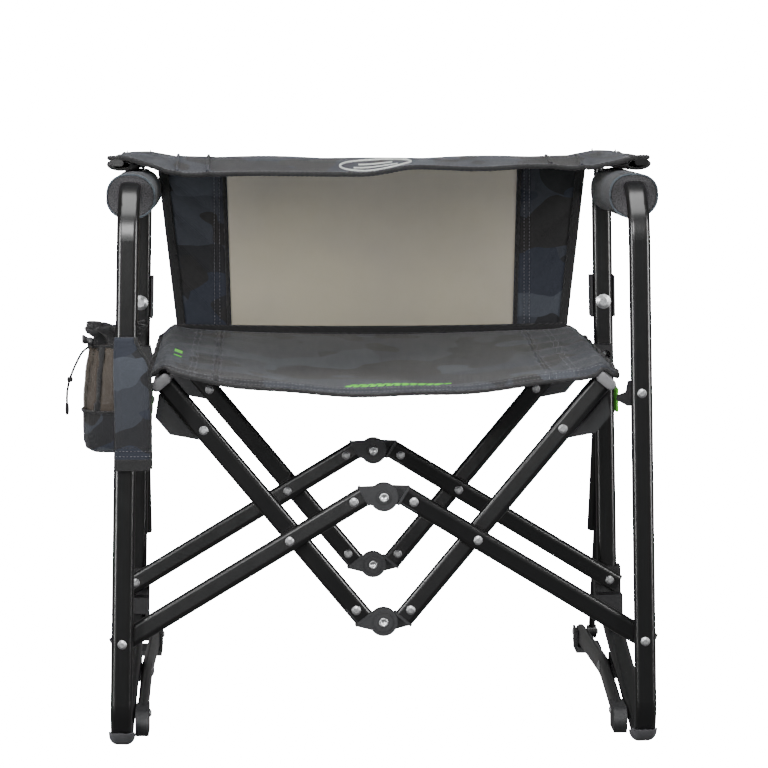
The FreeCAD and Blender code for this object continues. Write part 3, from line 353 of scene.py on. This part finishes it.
STITCH_PITCH, STITCH_LONG, STITCH_RADIUS = 4.2 * MM, 2.6 * MM, 0.32 * MM


def stitches(name, points, body, material=STITCH):
    """A dashed line of thread along a polyline."""
    verts, faces = [], []
    travelled, due = 0.0, 0.0
    for first, last in zip(points, points[1:]):
        run = last - first
        if run.length < 1e-9:
            continue
        way = run.normalized()
        while due <= travelled + run.length:
            start = first + way * (due - travelled)
            side = way.cross(Vector((0.3, 1, 0.2))).normalized() * STITCH_RADIUS
            up = way.cross(side).normalized() * STITCH_RADIUS
            base = len(verts)
            for share, size in ((0.0, 0.5), (0.5, 1.3), (1.0, 0.5)):
                point = start + way * STITCH_LONG * share
                verts += [point + side * size, point + up * size, point - side * size, point - up * size]
            for ring in (0, 4):
                for i in range(4):
                    k = (i + 1) % 4
                    faces.append((base + ring + i, base + ring + k, base + ring + 4 + k, base + ring + 4 + i))
            faces.append((base, base + 1, base + 2, base + 3))
            faces.append((base + 8, base + 9, base + 10, base + 11))
            due += STITCH_PITCH
        travelled += run.length
    return finish_piece(name, verts, faces, material, body)


# ---------------------------------------------------------------- camera and light

def aim_camera():
    """The viewing angle: long lens, a little left of the middle, looking slightly down."""
    data = bpy.data.cameras.new("camera")
    data.lens = 157.8
    data.sensor_width = 36
    data.clip_end = 30
    camera = bpy.data.objects.new("camera", data)
    bpy.context.scene.collection.objects.link(camera)
    camera.location = place(-131, -3800, 872)
    camera.rotation_euler = (math.radians(90 - 6.7), 0, math.radians(-1.97))
    bpy.context.scene.camera = camera


def area_light(name, location, target, size, power, size_y=None):
    """A soft rectangular lamp aimed at a point."""
    data = bpy.data.lights.new(name, "AREA")
    data.energy = power
    data.size = size
    if size_y:
        data.shape = "RECTANGLE"
        data.size_y = size_y
    lamp = bpy.data.objects.new(name, data)
    bpy.context.scene.collection.objects.link(lamp)
    lamp.location = location
    lamp.rotation_euler = (Vector(target) - Vector(location)).to_track_quat("-Z", "Y").to_euler()


SHEET_GLOW = 24


def white_sheet(name, corners):
    """A plain white studio surface that only the camera sees."""
    look = Look(name, 1.0)
    look.paint(look.ramp(look.noise(2, 1), [(0.3, (1.0,) * 3), (0.7, (1.0,) * 3)]))
    look.shader.inputs["Emission Color"].default_value = (1, 1, 1, 1)
    look.shader.inputs["Emission Strength"].default_value = SHEET_GLOW
    mesh = bpy.data.meshes.new(name)
    mesh.from_pydata(corners, [], [(0, 1, 2, 3)])
    mesh.materials.append(look.material)
    sheet = bpy.data.objects.new(name, mesh)
    sheet.visible_diffuse = False
    sheet.visible_glossy = False
    sheet.visible_shadow = False
    bpy.context.scene.collection.objects.link(sheet)


def light_studio():
    """Dim room, two tall strips for the tubes' highlights, a fill and a broad top light."""
    world = bpy.data.worlds.new("studio")
    bpy.context.scene.world = world
    world.use_nodes = True
    world.node_tree.nodes["Background"].inputs["Color"].default_value = (1, 1, 1, 1)
    world.node_tree.nodes["Background"].inputs["Strength"].default_value = 0.16
    middle = (0, 0, 0.35)
    area_light("left_strip", (-1.7, -1.7, 0.7), middle, 0.32, 62, 1.7)
    area_light("right_strip", (1.9, -1.4, 0.8), middle, 0.32, 50, 1.7)
    area_light("front_fill", (-0.5, -3.4, 1.7), middle, 1.2, 78)
    area_light("top", (0, -0.6, 2.3), (0, 0, 0.3), 1.8, 60)
    reach, sunk, behind, low, high = 14, -0.0005, 6, -1, 9
    white_sheet("floor", [(-reach, -reach, sunk), (reach, -reach, sunk),
                          (reach, reach, sunk), (-reach, reach, sunk)])
    white_sheet("backdrop", [(-reach, behind, low), (reach, behind, low),
                             (reach, behind, high), (-reach, behind, high)])


# ---------------------------------------------------------------- armrests

PAD_WIDE, PAD_HIGH = 56.5, 52
PAD_FRONT, PAD_REAR = 46, 277
ARM_SLOPE = math.radians(1.5)


def pad_ring(side, y, scale=1.0, count=40):
    """One cross-section of an armrest pad: round top, fuller sides, narrower flat base."""
    low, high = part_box(f"{'left' if side < 0 else 'right'}_arm_pad")
    centre_x = (low.x + high.x) / 2
    drop = math.tan(ARM_SLOPE) * (y - PAD_FRONT) * MM
    centre_z = high.z - PAD_HIGH / 2 * MM - drop
    ring = []
    for i in range(count):
        angle = TAU * i / count
        c, s = math.cos(angle), math.sin(angle)
        power = 0.86 if s > 0 else 0.72
        x = math.copysign(abs(c) ** 0.86, c) * PAD_WIDE / 2
        z = math.copysign(abs(s) ** power, s) * PAD_HIGH / 2
        if s < 0:
            x *= 1 - 0.16 * abs(s) ** 1.5
        lump = 1 + 0.012 * math.sin(y * 0.09 + side * 2 + 3 * angle)
        grow = scale * lump * MM
        ring.append(Vector((centre_x + x * grow, FRONT_Y + y * MM, centre_z + z * grow)))
    return ring


def make_arm_pad(label, side):
    """A foam sleeve under camouflage cloth, with bound ends and a speckled foam face."""
    body = f"{label}_frame"
    front, rear = PAD_FRONT, PAD_REAR
    stations = [(front + 1.2, 0.925), (front + 0.4, 0.965), (front + 0.6, 0.99), (front + 3, 1.0)]
    stations += [(front + 3 + (rear - front - 6) * k / 12, 1.0 + 0.008 * math.sin(k * 1.7))
                 for k in range(1, 12)]
    stations += [(rear - 3, 1.0), (rear - 0.6, 0.99), (rear - 0.4, 0.965), (rear - 1.2, 0.925)]
    cover = loft_piece(f"{label}_arm_cover", [pad_ring(side, y, k) for y, k in stations],
                       PAD_CLOTH, body, capped=False)
    core = loft_piece(f"{label}_arm_foam", [pad_ring(side, y, k) for y, k in (
        (front + 1.9, 0.84), (front + 1.3, 0.9), (front + 2.2, 0.935), (rear - 2.2, 0.935),
        (rear - 1.3, 0.9), (rear - 1.9, 0.84))], FOAM, body)
    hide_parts(f"{label}_arm_pad")
    for which, y in (("front", front + 1.0), ("rear", rear - 1.0)):
        ring = pad_ring(side, y, 0.965, 72)
        tube_piece(f"{label}_arm_{which}_piping", ring + ring[:1], 1.1 * MM, PIPING, body,
                   0.15, 8)
    seam = [pad_ring(side, front + 8 + (rear - front - 16) * k / 60, 1.004)[33] for k in range(61)]
    stitches(f"{label}_arm_seam", seam, body)


# ---------------------------------------------------------------- seat

SEAT_HALF, SEAT_EDGE = 262, 446.5
SEAT_FRONT, SEAT_REAR = 2, 440


def seat_front(x):
    """The front edge steps back beside the rails, so that their caps show."""
    return SEAT_FRONT + 9 * smoothstep(240, 252, abs(x))


def seat_point(x, y):
    """The seat's upper face: a sling between the rails, loose at the front, with soft wrinkles."""
    t = abs(x) / SEAT_HALF
    sag = (27 - 17 * smoothstep(150, SEAT_REAR, y)) * (1 - t * t)
    belly = 6 * math.sin(math.pi * min(1, max(0, (y - 4) / 436))) * (1 - t ** 2)
    wrinkle = 1.3 * math.sin(x * 0.045 + y * 0.021) * math.exp(-((y - 60) / 120) ** 2)
    pull = 1.6 * math.sin(y * 0.115 + 1.3 * math.sin(x * 0.02)) * smoothstep(0.55, 0.95, t)
    lip = -7.0 * smoothstep(20, SEAT_FRONT, y)
    over_rail = -13.0 * smoothstep(250, 268, abs(x)) + 2.0 * math.exp(-((abs(x) - 246) / 9) ** 2)
    return place(x, y, SEAT_EDGE - sag - belly + wrinkle + pull + lip + over_rail)


def make_seat():
    """The sling seat with its hems, seams, double stitching and front trim."""
    body = "left_cross"
    reach, front, rear = 267, SEAT_FRONT, SEAT_REAR

    def shape(u, v):
        x = -reach + 2 * reach * u
        return seat_point(x, seat_front(x) + (rear - seat_front(x)) * v)

    seat = grid_piece("seat_cloth", 130, 90, shape, CAMO_CLOTH, body, 0.0022)
    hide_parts("seat_sling")
    trims = []
    step = 90
    lift = Vector((0, 0, 0.0012))
    across = [-reach + 2 * reach * k / step for k in range(step + 1)]
    front_edge = [seat_point(x, seat_front(x)) for x in across]
    trims.append(tube_piece("seat_front_hem", front_edge, 2.3 * MM, BINDING, body, 0.12))
    rear_edge = [seat_point(x, rear) for x in across]
    trims.append(tube_piece("seat_rear_hem", rear_edge, 2.3 * MM, BINDING, body, 0.12))
    for side in (-1, 1):
        for index, x in enumerate((188, 196, 216, 222)):
            line = [seat_point(side * x + 1.5 * math.sin(k), front + (rear - front) * k / 60) + lift
                    for k in range(61)]
            trims.append(stitches(f"seat_seam_{side + 1}_{index}", line, body))
        fold = [seat_point(side * 192, front + (rear - front) * k / 60) + lift * 0.6 for k in range(61)]
        trims.append(tube_piece(f"seat_fell_{side + 1}", fold, 2.6 * MM, CAMO_CLOTH, body,
                                0, 8, 0.45))
        edge = [seat_point(side * reach, seat_front(reach) + (rear - seat_front(reach)) * k / 110)
                for k in range(111)]
        trims.append(tube_piece(f"seat_side_binding_{side + 1}", edge, 2.6 * MM, BINDING, body,
                                0.3))
    for offset in (9, 15):
        line = [seat_point(-250 + 500 * k / 90, offset) + lift for k in range(91)]
        trims.append(stitches(f"seat_front_stitch_{offset}", line, body))
    trims += seat_emblem(body)
    for piece in [seat, *trims]:
        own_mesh(piece)


def seat_emblem(body):
    """Plain slanted green bars near the front edge, in two rows, and a plain green tag."""
    pieces = []
    verts, faces = [], []
    for row, (low, high) in enumerate(((22, 34), (40, 47))):
        x = -44.0
        while x < 66:
            wide = 5.5 + 2.5 * rng.random()
            base = len(verts)
            for px, py in ((x, low), (x + wide, low), (x + wide + 2.5, high), (x + 2.5, high)):
                verts.append(seat_point(px + 6 * row, py) + Vector((0, 0, 0.0017)))
            for px, py in ((x, low), (x + wide, low), (x + wide + 2.5, high), (x + 2.5, high)):
                verts.append(seat_point(px + 6 * row, py) + Vector((0, 0, 0.0008)))
            faces.append((base, base + 1, base + 2, base + 3))
            faces.append((base + 7, base + 6, base + 5, base + 4))
            for i in range(4):
                k = (i + 1) % 4
                faces.append((base + i, base + 4 + i, base + 4 + k, base + k))
            x += wide + 3.0
    pieces.append(finish_piece("seat_green_bars", verts, faces, GREEN_THREAD, body, False))
    tag = []
    for px, py in ((-243, 150), (-234, 150), (-234, 205), (-243, 205)):
        tag.append(seat_point(px, py) + Vector((0, 0, 0.0018)))
    tag += [point - Vector((0, 0, 0.001)) for point in tag]
    sides = [(0, 1, 2, 3), (7, 6, 5, 4)]
    sides += [(i, 4 + i, 4 + (i + 1) % 4, (i + 1) % 4) for i in range(4)]
    pieces.append(finish_piece("seat_green_tag", tag, sides, GREEN_THREAD, body, False))
    return pieces


# ---------------------------------------------------------------- lower back

BACK_HIGH = 655


def back_half(t):
    """Half width of the back panel at a share of its height: wider at the top."""
    return 247 + 24 * t


def net_half(t):
    """Half width of the net between the wings."""
    return 181 + 6 * t


def back_point(share, t):
    """A point of the back panel: share is -1 to 1 across, t is 0 to 1 up."""
    x = share * back_half(t)
    bow = 10 * (1 - share * share)
    lean = 13 * t
    ripple = 1.5 * math.sin(9 * share + 4 * t) * smoothstep(0.66, 0.8, abs(share))
    crease = 0.0
    for rise in (0.18, 0.40, 0.60, 0.80):
        crease += 2.4 * math.exp(-((t - rise - 1.1 * (abs(share) - 0.85)) / 0.05) ** 2)
    crease *= smoothstep(0.73, 0.82, abs(share)) * smoothstep(1.0, 0.93, abs(share))
    foot = 444.3 + 4.5 * share * share
    return place(x, 437 + lean + bow + ripple + crease, foot + (BACK_HIGH - foot) * t)


def make_back():
    """The lower back: taupe net between camouflage wings, with bound edges."""
    body = "left_frame"
    pieces = []

    def net_shape(u, v):
        share = (-1 + 2 * u) * net_half(v) / back_half(v)
        return back_point(share, v)

    net = grid_piece("back_net", 90, 50, net_shape, NET, body, 0.0012)
    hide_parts("back_panel")
    pieces.append(net)
    for side in (-1, 1):
        def wing_shape(u, v, side=side):
            inner = (net_half(v) - 3) / back_half(v)
            return back_point(side * (inner + (1 - inner) * u), v) - Vector((0, 0.0012, 0))

        wing = grid_piece(f"back_wing_{side + 1}", 26, 60, wing_shape, CAMO_CLOTH, body,
                          0.0016)
        pieces.append(wing)

        def border_shape(u, v, side=side):
            return back_point(side * (1 - 0.045 * (1 - u)), v) - Vector((0, 0.0030, 0))

        pieces.append(grid_piece(f"back_border_{side + 1}", 4, 60, border_shape, BINDING, body,
                                 0.0014))
        for index, share in enumerate((0.955, 0.735, 0.76)):
            line = [back_point(side * share * (1 if index == 0 else 262 / back_half(k / 50)), k / 50)
                    - Vector((0, 0.0034, 0)) for k in range(51)]
            pieces.append(stitches(f"back_stitch_{side + 1}_{index}", line, body,
                                   BINDING if index == 0 else STITCH))
        inner = [back_point(side * net_half(k / 60) / back_half(k / 60), k / 60) - Vector((0, 0.0028, 0))
                 for k in range(61)]
        pieces.append(tube_piece(f"back_net_binding_{side + 1}", inner, 2.4 * MM, BINDING, body,
                                 0.1, 8, 0.6))

    def foot_shape(u, v):
        return back_point(-1 + 2 * u, 0.075 * v - 0.06) - Vector((0, 0.0036 + 0.002 * (1 - v), 0))

    pieces.append(grid_piece("back_foot_band", 90, 5, foot_shape, BINDING, body, 0.002))
    for piece in pieces:
        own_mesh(piece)


# ---------------------------------------------------------------- folded upper back

FLAP_FRONT, FLAP_REAR = 148, 463


def flap_half_at(y):
    """Half width of the folded upper back: the front corners are cut away to free the arms' tips."""
    return 303 + 15 * smoothstep(146, 175, y) - 6 * smoothstep(175, 459, y)


def back_arm_at(y):
    """Distance from the middle and height of a back arm's centre line at a depth."""
    t = (y - 147) / 312
    return 308 - 19.6 * t, 669.5 - 9.0 * t


def flap_height(x, y):
    """Height of the folded upper back's upper face."""
    a = abs(x)
    t = (y - 150) / 309
    arm_x, arm_z = back_arm_at(y)
    crest = 671.5 - 2.5 * math.exp(-(x / 90) ** 2)
    hem = 656.8 + 7.0 * smoothstep(-20, 45, x) + 1.1 * math.sin(x * 0.042 + 0.6)
    middle = hem + (crest - hem) * smoothstep(146, 232, y) - 12.5 * smoothstep(225, 452, y)
    wing = arm_z + 5.8 - 5.5 * smoothstep(6, 34, abs(a - arm_x)) * (1 - smoothstep(0.8, 1.0, t))
    hump = 1.6 * math.exp(-((y - 448) / 26) ** 2) * math.exp(-((a - 291) / 17) ** 4)
    seam = 1.7 * math.exp(-((a - 238) / 6) ** 2) + 1.1 * math.exp(-((a - 202) / 4) ** 2)
    share = smoothstep(232, 284, a)
    ripple = 0.7 * math.sin(x * 0.05 + y * 0.03)
    return middle + (wing - middle) * share + hump + seam * smoothstep(262, 205, y) + ripple


def flap_point(share, y, drop=0.0):
    x = share * flap_half_at(y)
    return place(x, y, flap_height(x, y) - drop)


def make_flap():
    """The upper back folded forward over the armrests: sleeve ends, turned-down hem and patch."""
    body = "left_back"
    front, rear = FLAP_FRONT, FLAP_REAR

    def shape(u, v):
        y = front + (rear - front) * v ** 1.25
        return flap_point(-1 + 2 * u, y)

    top = grid_piece("back_flap_cloth", 150, 44, shape, FLAP_CLOTH, body, 0.0024)
    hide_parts("back_flap")
    pieces = [top]

    def under(u, v):
        y = front + 3 + (rear - front - 6) * v
        return flap_point((-1 + 2 * u) * 0.79, y, 3 + 2 * math.sin(math.pi * v))

    pieces.append(grid_piece("back_flap_lining", 60, 16, under, BINDING, body, 0.0012))
    edge = [flap_point(-1 + 2 * k / 220, front, 0.8) for k in range(221)]
    pieces.append(tube_piece("flap_front_binding", edge, 2.5 * MM, BINDING, body, 0.28))
    for side in (-1, 1):
        rim = [flap_point(side, front + (rear - front) * k / 110, 0.6) for k in range(111)]
        pieces.append(tube_piece(f"flap_side_binding_{side + 1}", rim, 2.3 * MM, BINDING, body,
                                 0.25))
        pieces.append(sleeve_roll(side, body))
        for x in (202, 238):
            line = [flap_point(side * x / flap_half_at(150 + 5 * k), 150 + 5 * k, -1.8) for k in range(18)]
            pieces.append(tube_piece(f"flap_seam_{side + 1}_{x}", line, 1.6 * MM, FLAP_CLOTH, body,
                                     0.3, 8))
        for x in (278.5, 308):
            for k, y in enumerate((450, 458)):
                base = flap_point(side * x / flap_half_at(y), y, 0)
                thread = [base, base + Vector((0.0004 * side, 0, 0.0035))]
                pieces.append(tube_piece(f"flap_thread_{side + 1}_{x}_{k}", thread, 0.7 * MM, BINDING, body,
                                         0, 6))
    line = [flap_point(-0.95 + 1.9 * k / 150, front + 9, -1.4) for k in range(151)]
    pieces.append(stitches("flap_hem_stitch", line, body))
    pieces += flap_patch(body)
    for piece in pieces:
        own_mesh(piece)


def sleeve_roll(side, body):
    """The dark sleeve that wraps an arm of the back frame, under the camouflage cloth."""
    rings = []
    for k in range(26):
        y = 150 + 290 * k / 25
        arm_x, arm_z = back_arm_at(y)
        close = 0.55 if k in (0, 25) else 1.0
        ring = []
        for i in range(28):
            angle = TAU * i / 28
            x = arm_x - 5 + 18.5 * close * math.cos(angle)
            z = arm_z - 2.4 + 7.2 * close * math.sin(angle) + 0.5 * math.sin(y * 0.16 + 2 * angle)
            ring.append(place(side * x, y, z))
        rings.append(ring)
    return loft_piece(f"flap_sleeve_{side + 1}", rings, BINDING, body, capped=False)


def flap_patch(body):
    """A plain woven oval patch with two bars, standing for no maker."""
    pieces = []
    centre_y, half_x, half_y = 186, 42, 27
    ring = []
    for i in range(72):
        angle = TAU * i / 72
        x, y = -4 + half_x * math.cos(angle), centre_y + half_y * math.sin(angle)
        ring.append(place(x, y, flap_height(x, y) + 1.8))
    pieces.append(tube_piece("flap_patch_ring", ring + ring[:1], 1.2 * MM, PALE_THREAD, body,
                             0.1, 8))
    for index, (low, high, reach) in enumerate(((176, 181, 26), (190, 195, 20))):
        def bar(u, v, low=low, high=high, reach=reach):
            x, y = -4 - reach + 2 * reach * u, low + (high - low) * v
            return place(x, y, flap_height(x, y) + 1.9)

        pieces.append(grid_piece(f"flap_patch_bar_{index}", 24, 3, bar, PALE_THREAD, body,
                                 0.0006))
    return pieces


# ---------------------------------------------------------------- cup holder and pocket

CUP_X, CUP_Y, CUP_R = -311, 56, 34


def cup_ring(z, radius, ruffle=0.0, lobes=11, count=66, shift=0.0):
    """One ring of the cup holder's bag."""
    ring = []
    for i in range(count):
        angle = TAU * i / count
        wave = 1 + ruffle * math.sin(lobes * angle + z * 0.21)
        wave += 0.4 * ruffle * math.sin(5 * angle + z * 0.1)
        ring.append(place(CUP_X + shift + radius * wave * math.cos(angle),
                          CUP_Y + radius * wave * math.sin(angle),
                          z + 1.5 * ruffle * 10 * math.sin(3 * angle)))
    return ring


def make_cup_holder():
    """A drawstring bag: camouflage cup below, dark net above, gathered black ruffle at the mouth."""
    body = "left_frame"
    lower = [cup_ring(343.5, 12, 0.0), cup_ring(343.2, 24, 0.02), cup_ring(347, 30.5, 0.02),
             cup_ring(355, 33.5, 0.012), cup_ring(372, 34.4, 0.008), cup_ring(388, 34.6, 0.006),
             cup_ring(392, 34.2, 0.006)]
    shell = loft_piece("cup_holder_base", lower, POCKET_CLOTH, body, capped=False)
    loft_piece("cup_holder_floor", [cup_ring(343.6, 24.5, 0.02), cup_ring(345.5, 24, 0.02)], POCKET_CLOTH,
               body)
    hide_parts("cup_holder")
    net_rings = []
    for k in range(13):
        z = 390 + (468 - 390) * k / 12
        t = k / 12
        net_rings.append(cup_ring(z, 34.4 - 6.5 * t ** 2.2, 0.006 + 0.05 * t, 11, 66, 3 * t))
    net = loft_piece("cup_holder_net", net_rings, DARK_NET, body, capped=False)
    for piece in (shell, net):
        solid = piece.modifiers.new("cloth", "SOLIDIFY")
        solid.thickness = 0.0012
    for index, z in enumerate((391, 466)):
        radius = 34.9 if index == 0 else 28.5
        ring = cup_ring(z, radius, 0.006 if index == 0 else 0.055, 11, 88, 0 if index == 0 else 3)
        tube_piece(f"cup_binding_{index}", ring + ring[:1], 1.7 * MM, BINDING, body, 0.15, 8)
    for index, angle in enumerate((-2.05, -1.1, 0.5, 2.2)):
        strap = []
        for k in range(17):
            t = k / 16
            radius = 34.9 - 6.5 * t ** 2.2
            strap.append(place(CUP_X + 3 * t + radius * math.cos(angle), CUP_Y + radius * math.sin(angle),
                               391 + 75 * t))
        tube_piece(f"cup_strap_{index}", strap, 4.2 * MM, BINDING, body, 0, 8, 0.28)
    ruffle = []
    for k in range(11):
        t = k / 10
        radius = 27.5 - 7 * math.sin(math.pi * min(1, 1.25 * t)) + 4.5 * t
        ruffle.append(cup_ring(463 + 25 * t, radius, 0.10 + 0.09 * t, 9, 132, 3 + 2 * t))
    frill = loft_piece("cup_ruffle", ruffle, RUFFLE, body, capped=False)
    solid = frill.modifiers.new("cloth", "SOLIDIFY")
    solid.thickness = 0.0022
    inner = [cup_ring(480, 15, 0.2, 9), cup_ring(474, 12, 0.2, 9), cup_ring(466, 5, 0.1, 9)]
    loft_piece("cup_gather", inner, RUFFLE, body)


def pocket_ring(z, half, deep, centre, bulge=0.0, count=40):
    """One ring of the flat pocket."""
    ring = []
    front = -9.6
    for i in range(count):
        angle = TAU * i / count
        c, s = math.cos(angle), math.sin(angle)
        x = math.copysign(abs(c) ** 0.42, c) * half
        y = math.copysign(abs(s) ** 0.6, s) * deep / 2
        if s < 0:
            y -= bulge * (1 - (x / half) ** 2)
        ring.append(place(centre + x, front - deep / 2 + y, z))
    return ring


def make_pocket():
    """The flat phone pocket on the left front leg: rounded shoulder, hem band, bound side."""
    body = "left_frame"
    rings = []
    for k in range(29):
        t = k / 28
        z = 331 + 150 * t
        shoulder = smoothstep(0.72, 1.0, t)
        half = 20.4 - 8.5 * shoulder ** 1.3
        centre = -286 - 7.5 * shoulder ** 1.3 + 0.6 * math.sin(6 * t)
        deep = 9.2 - 3.5 * shoulder
        rings.append(pocket_ring(z, half, deep, centre, 1.8 * math.sin(math.pi * t)))
    body_piece = loft_piece("phone_pocket_cloth", rings, POCKET_CLOTH, body)
    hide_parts("phone_pocket")
    band = [pocket_ring(z, 20.9, 9.9, -286, 0.3) for z in (329.5, 331, 336, 341, 342.5)]
    loft_piece("phone_pocket_hem", band, BINDING, body)
    for index, z in enumerate((346, 352, 356)):
        ring = [point for point in pocket_ring(z, 20.7, 9.8, -286, 0.9, 80)[40:]]
        stitches(f"phone_pocket_stitch_{index}", ring, body,
                 STITCH if index < 2 else BINDING)
    edge = []
    for k in range(29):
        t = k / 28
        shoulder = smoothstep(0.72, 1.0, t)
        half = 20.4 - 8.5 * shoulder ** 1.3
        centre = -286 - 7.5 * shoulder ** 1.3
        edge.append(place(centre + half + 0.2, -14.5, 331 + 150 * t))
    tube_piece("phone_pocket_binding", edge, 2.1 * MM, BINDING, body, 0.12)


# The free drawstring's route, the same points as the part's own solid.
DRAWSTRING = ((-336, 28, 466), (-342, 24, 463), (-347, 21, 455), (-352, 19, 445), (-356.5, 18, 434),
              (-360, 17.5, 422), (-361.5, 18, 409), (-361, 18.5, 396))


def make_drawstring():
    """The black drawstring with its barrel toggle, knot and end sleeve."""
    body = "left_frame"
    data = bpy.data.curves.new("drawstring", "CURVE")
    data.dimensions = "3D"
    spline = data.splines.new("NURBS")
    spline.points.add(len(DRAWSTRING) - 1)
    for point, spot in zip(spline.points, DRAWSTRING):
        point.co = (*place(*spot), 1)
    spline.order_u = 3
    spline.use_endpoint_u = True
    spline.resolution_u = 12
    data.bevel_depth = 1.4 * MM
    data.bevel_resolution = 4
    data.materials.append(CORD)
    cord = bpy.data.objects.new("drawstring", data)
    bpy.context.scene.collection.objects.link(cord)
    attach(cord, body)
    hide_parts("cup_drawstring")
    for name, x, z, radius, height, bulge in (("drawstring_knot", -357.5, 430, 3.3, 6, 1.0),
                                              ("drawstring_end", -361, 396, 2.3, 13, 0.3)):
        centre = place(x, 18, z)
        rings = []
        for k in range(7):
            t = k / 6
            swell = radius * (0.75 + 0.25 * math.sin(math.pi * t) * (1 + bulge * 0.3)) * MM
            rings.append([centre + Vector((swell * math.cos(TAU * i / 14), swell * math.sin(TAU * i / 14),
                                           (t - 0.5) * height * MM)) for i in range(14)])
        loft_piece(name, rings, CORD, body)
    toggle_at = place(-337, 22, 474)
    rings = []
    for k in range(9):
        t = k / 8
        swell = (4.6 + 0.7 * math.sin(3 * math.pi * t)) * MM
        rings.append([toggle_at + Vector(((t - 0.5) * -13 * MM, swell * math.cos(TAU * i / 16),
                                          swell * math.sin(TAU * i / 16) + (t - 0.5) * 4 * MM))
                      for i in range(16)])
    loft_piece("drawstring_toggle", rings, BLACK_PLASTIC, body)


# ---------------------------------------------------------------- small hardware

def make_rail_caps():
    """Grey moulded caps on the front and rear ends of the seat rails."""
    way = Vector((206 - 31.4, 0, 370 - 160)).normalized()
    for label, side in SIDES:
        across = Vector((-side * way.z, 0, way.x))
        up = Vector((side * way.x, 0, way.z))
        for end, y, out in (("front", 7.2, -1), ("rear", 429.6, 1)):
            centre = place(side * 254, y, 427)
            rings = []
            for depth, scale in ((-1.6, 1.01), (0.4, 1.03), (1.6, 0.98), (2.3, 0.84), (2.6, 0.55)):
                ring = []
                for i in range(40):
                    angle = TAU * i / 40
                    reach = TUBE_HALF * MM
                    point = across * math.cos(angle) * reach + up * math.sin(angle) * reach
                    if abs(math.cos(angle)) > 1e-6:
                        point += across * math.copysign(reach, math.cos(angle))
                    ring.append(centre + point * scale + Vector((0, out * depth * MM, 0)))
                rings.append(ring)
            loft_piece(f"{label}_{end}_rail_cap", rings, GREY_PLASTIC, f"{label}_cross")


def make_hub_screws():
    """Recessed screws in the middle of the four hubs."""
    for height, y_front, body in ((293.6, 14, "left_links"), (293.6, 405, "left_links"),
                                  (146, 28, "left_cross"), (146, 419, "left_cross")):
        centre = place(0, y_front - 7.4, height)
        rings = []
        for depth, radius in ((0.0, 5.2), (-0.8, 5.4), (-1.3, 4.6), (-0.9, 2.6), (-0.2, 2.3)):
            rings.append([centre + Vector((radius * math.cos(TAU * i / 24) * MM, depth * MM,
                                           radius * math.sin(TAU * i / 24) * MM)) for i in range(24)])
        loft_piece(f"hub_screw_{height:.0f}_{y_front}", rings, RIVET, body)


aim_camera()
light_studio()
for label, side in SIDES:
    make_arm_pad(label, side)
make_seat()
make_back()
make_flap()
make_cup_holder()
make_pocket()
make_drawstring()
make_rail_caps()
make_hub_screws()
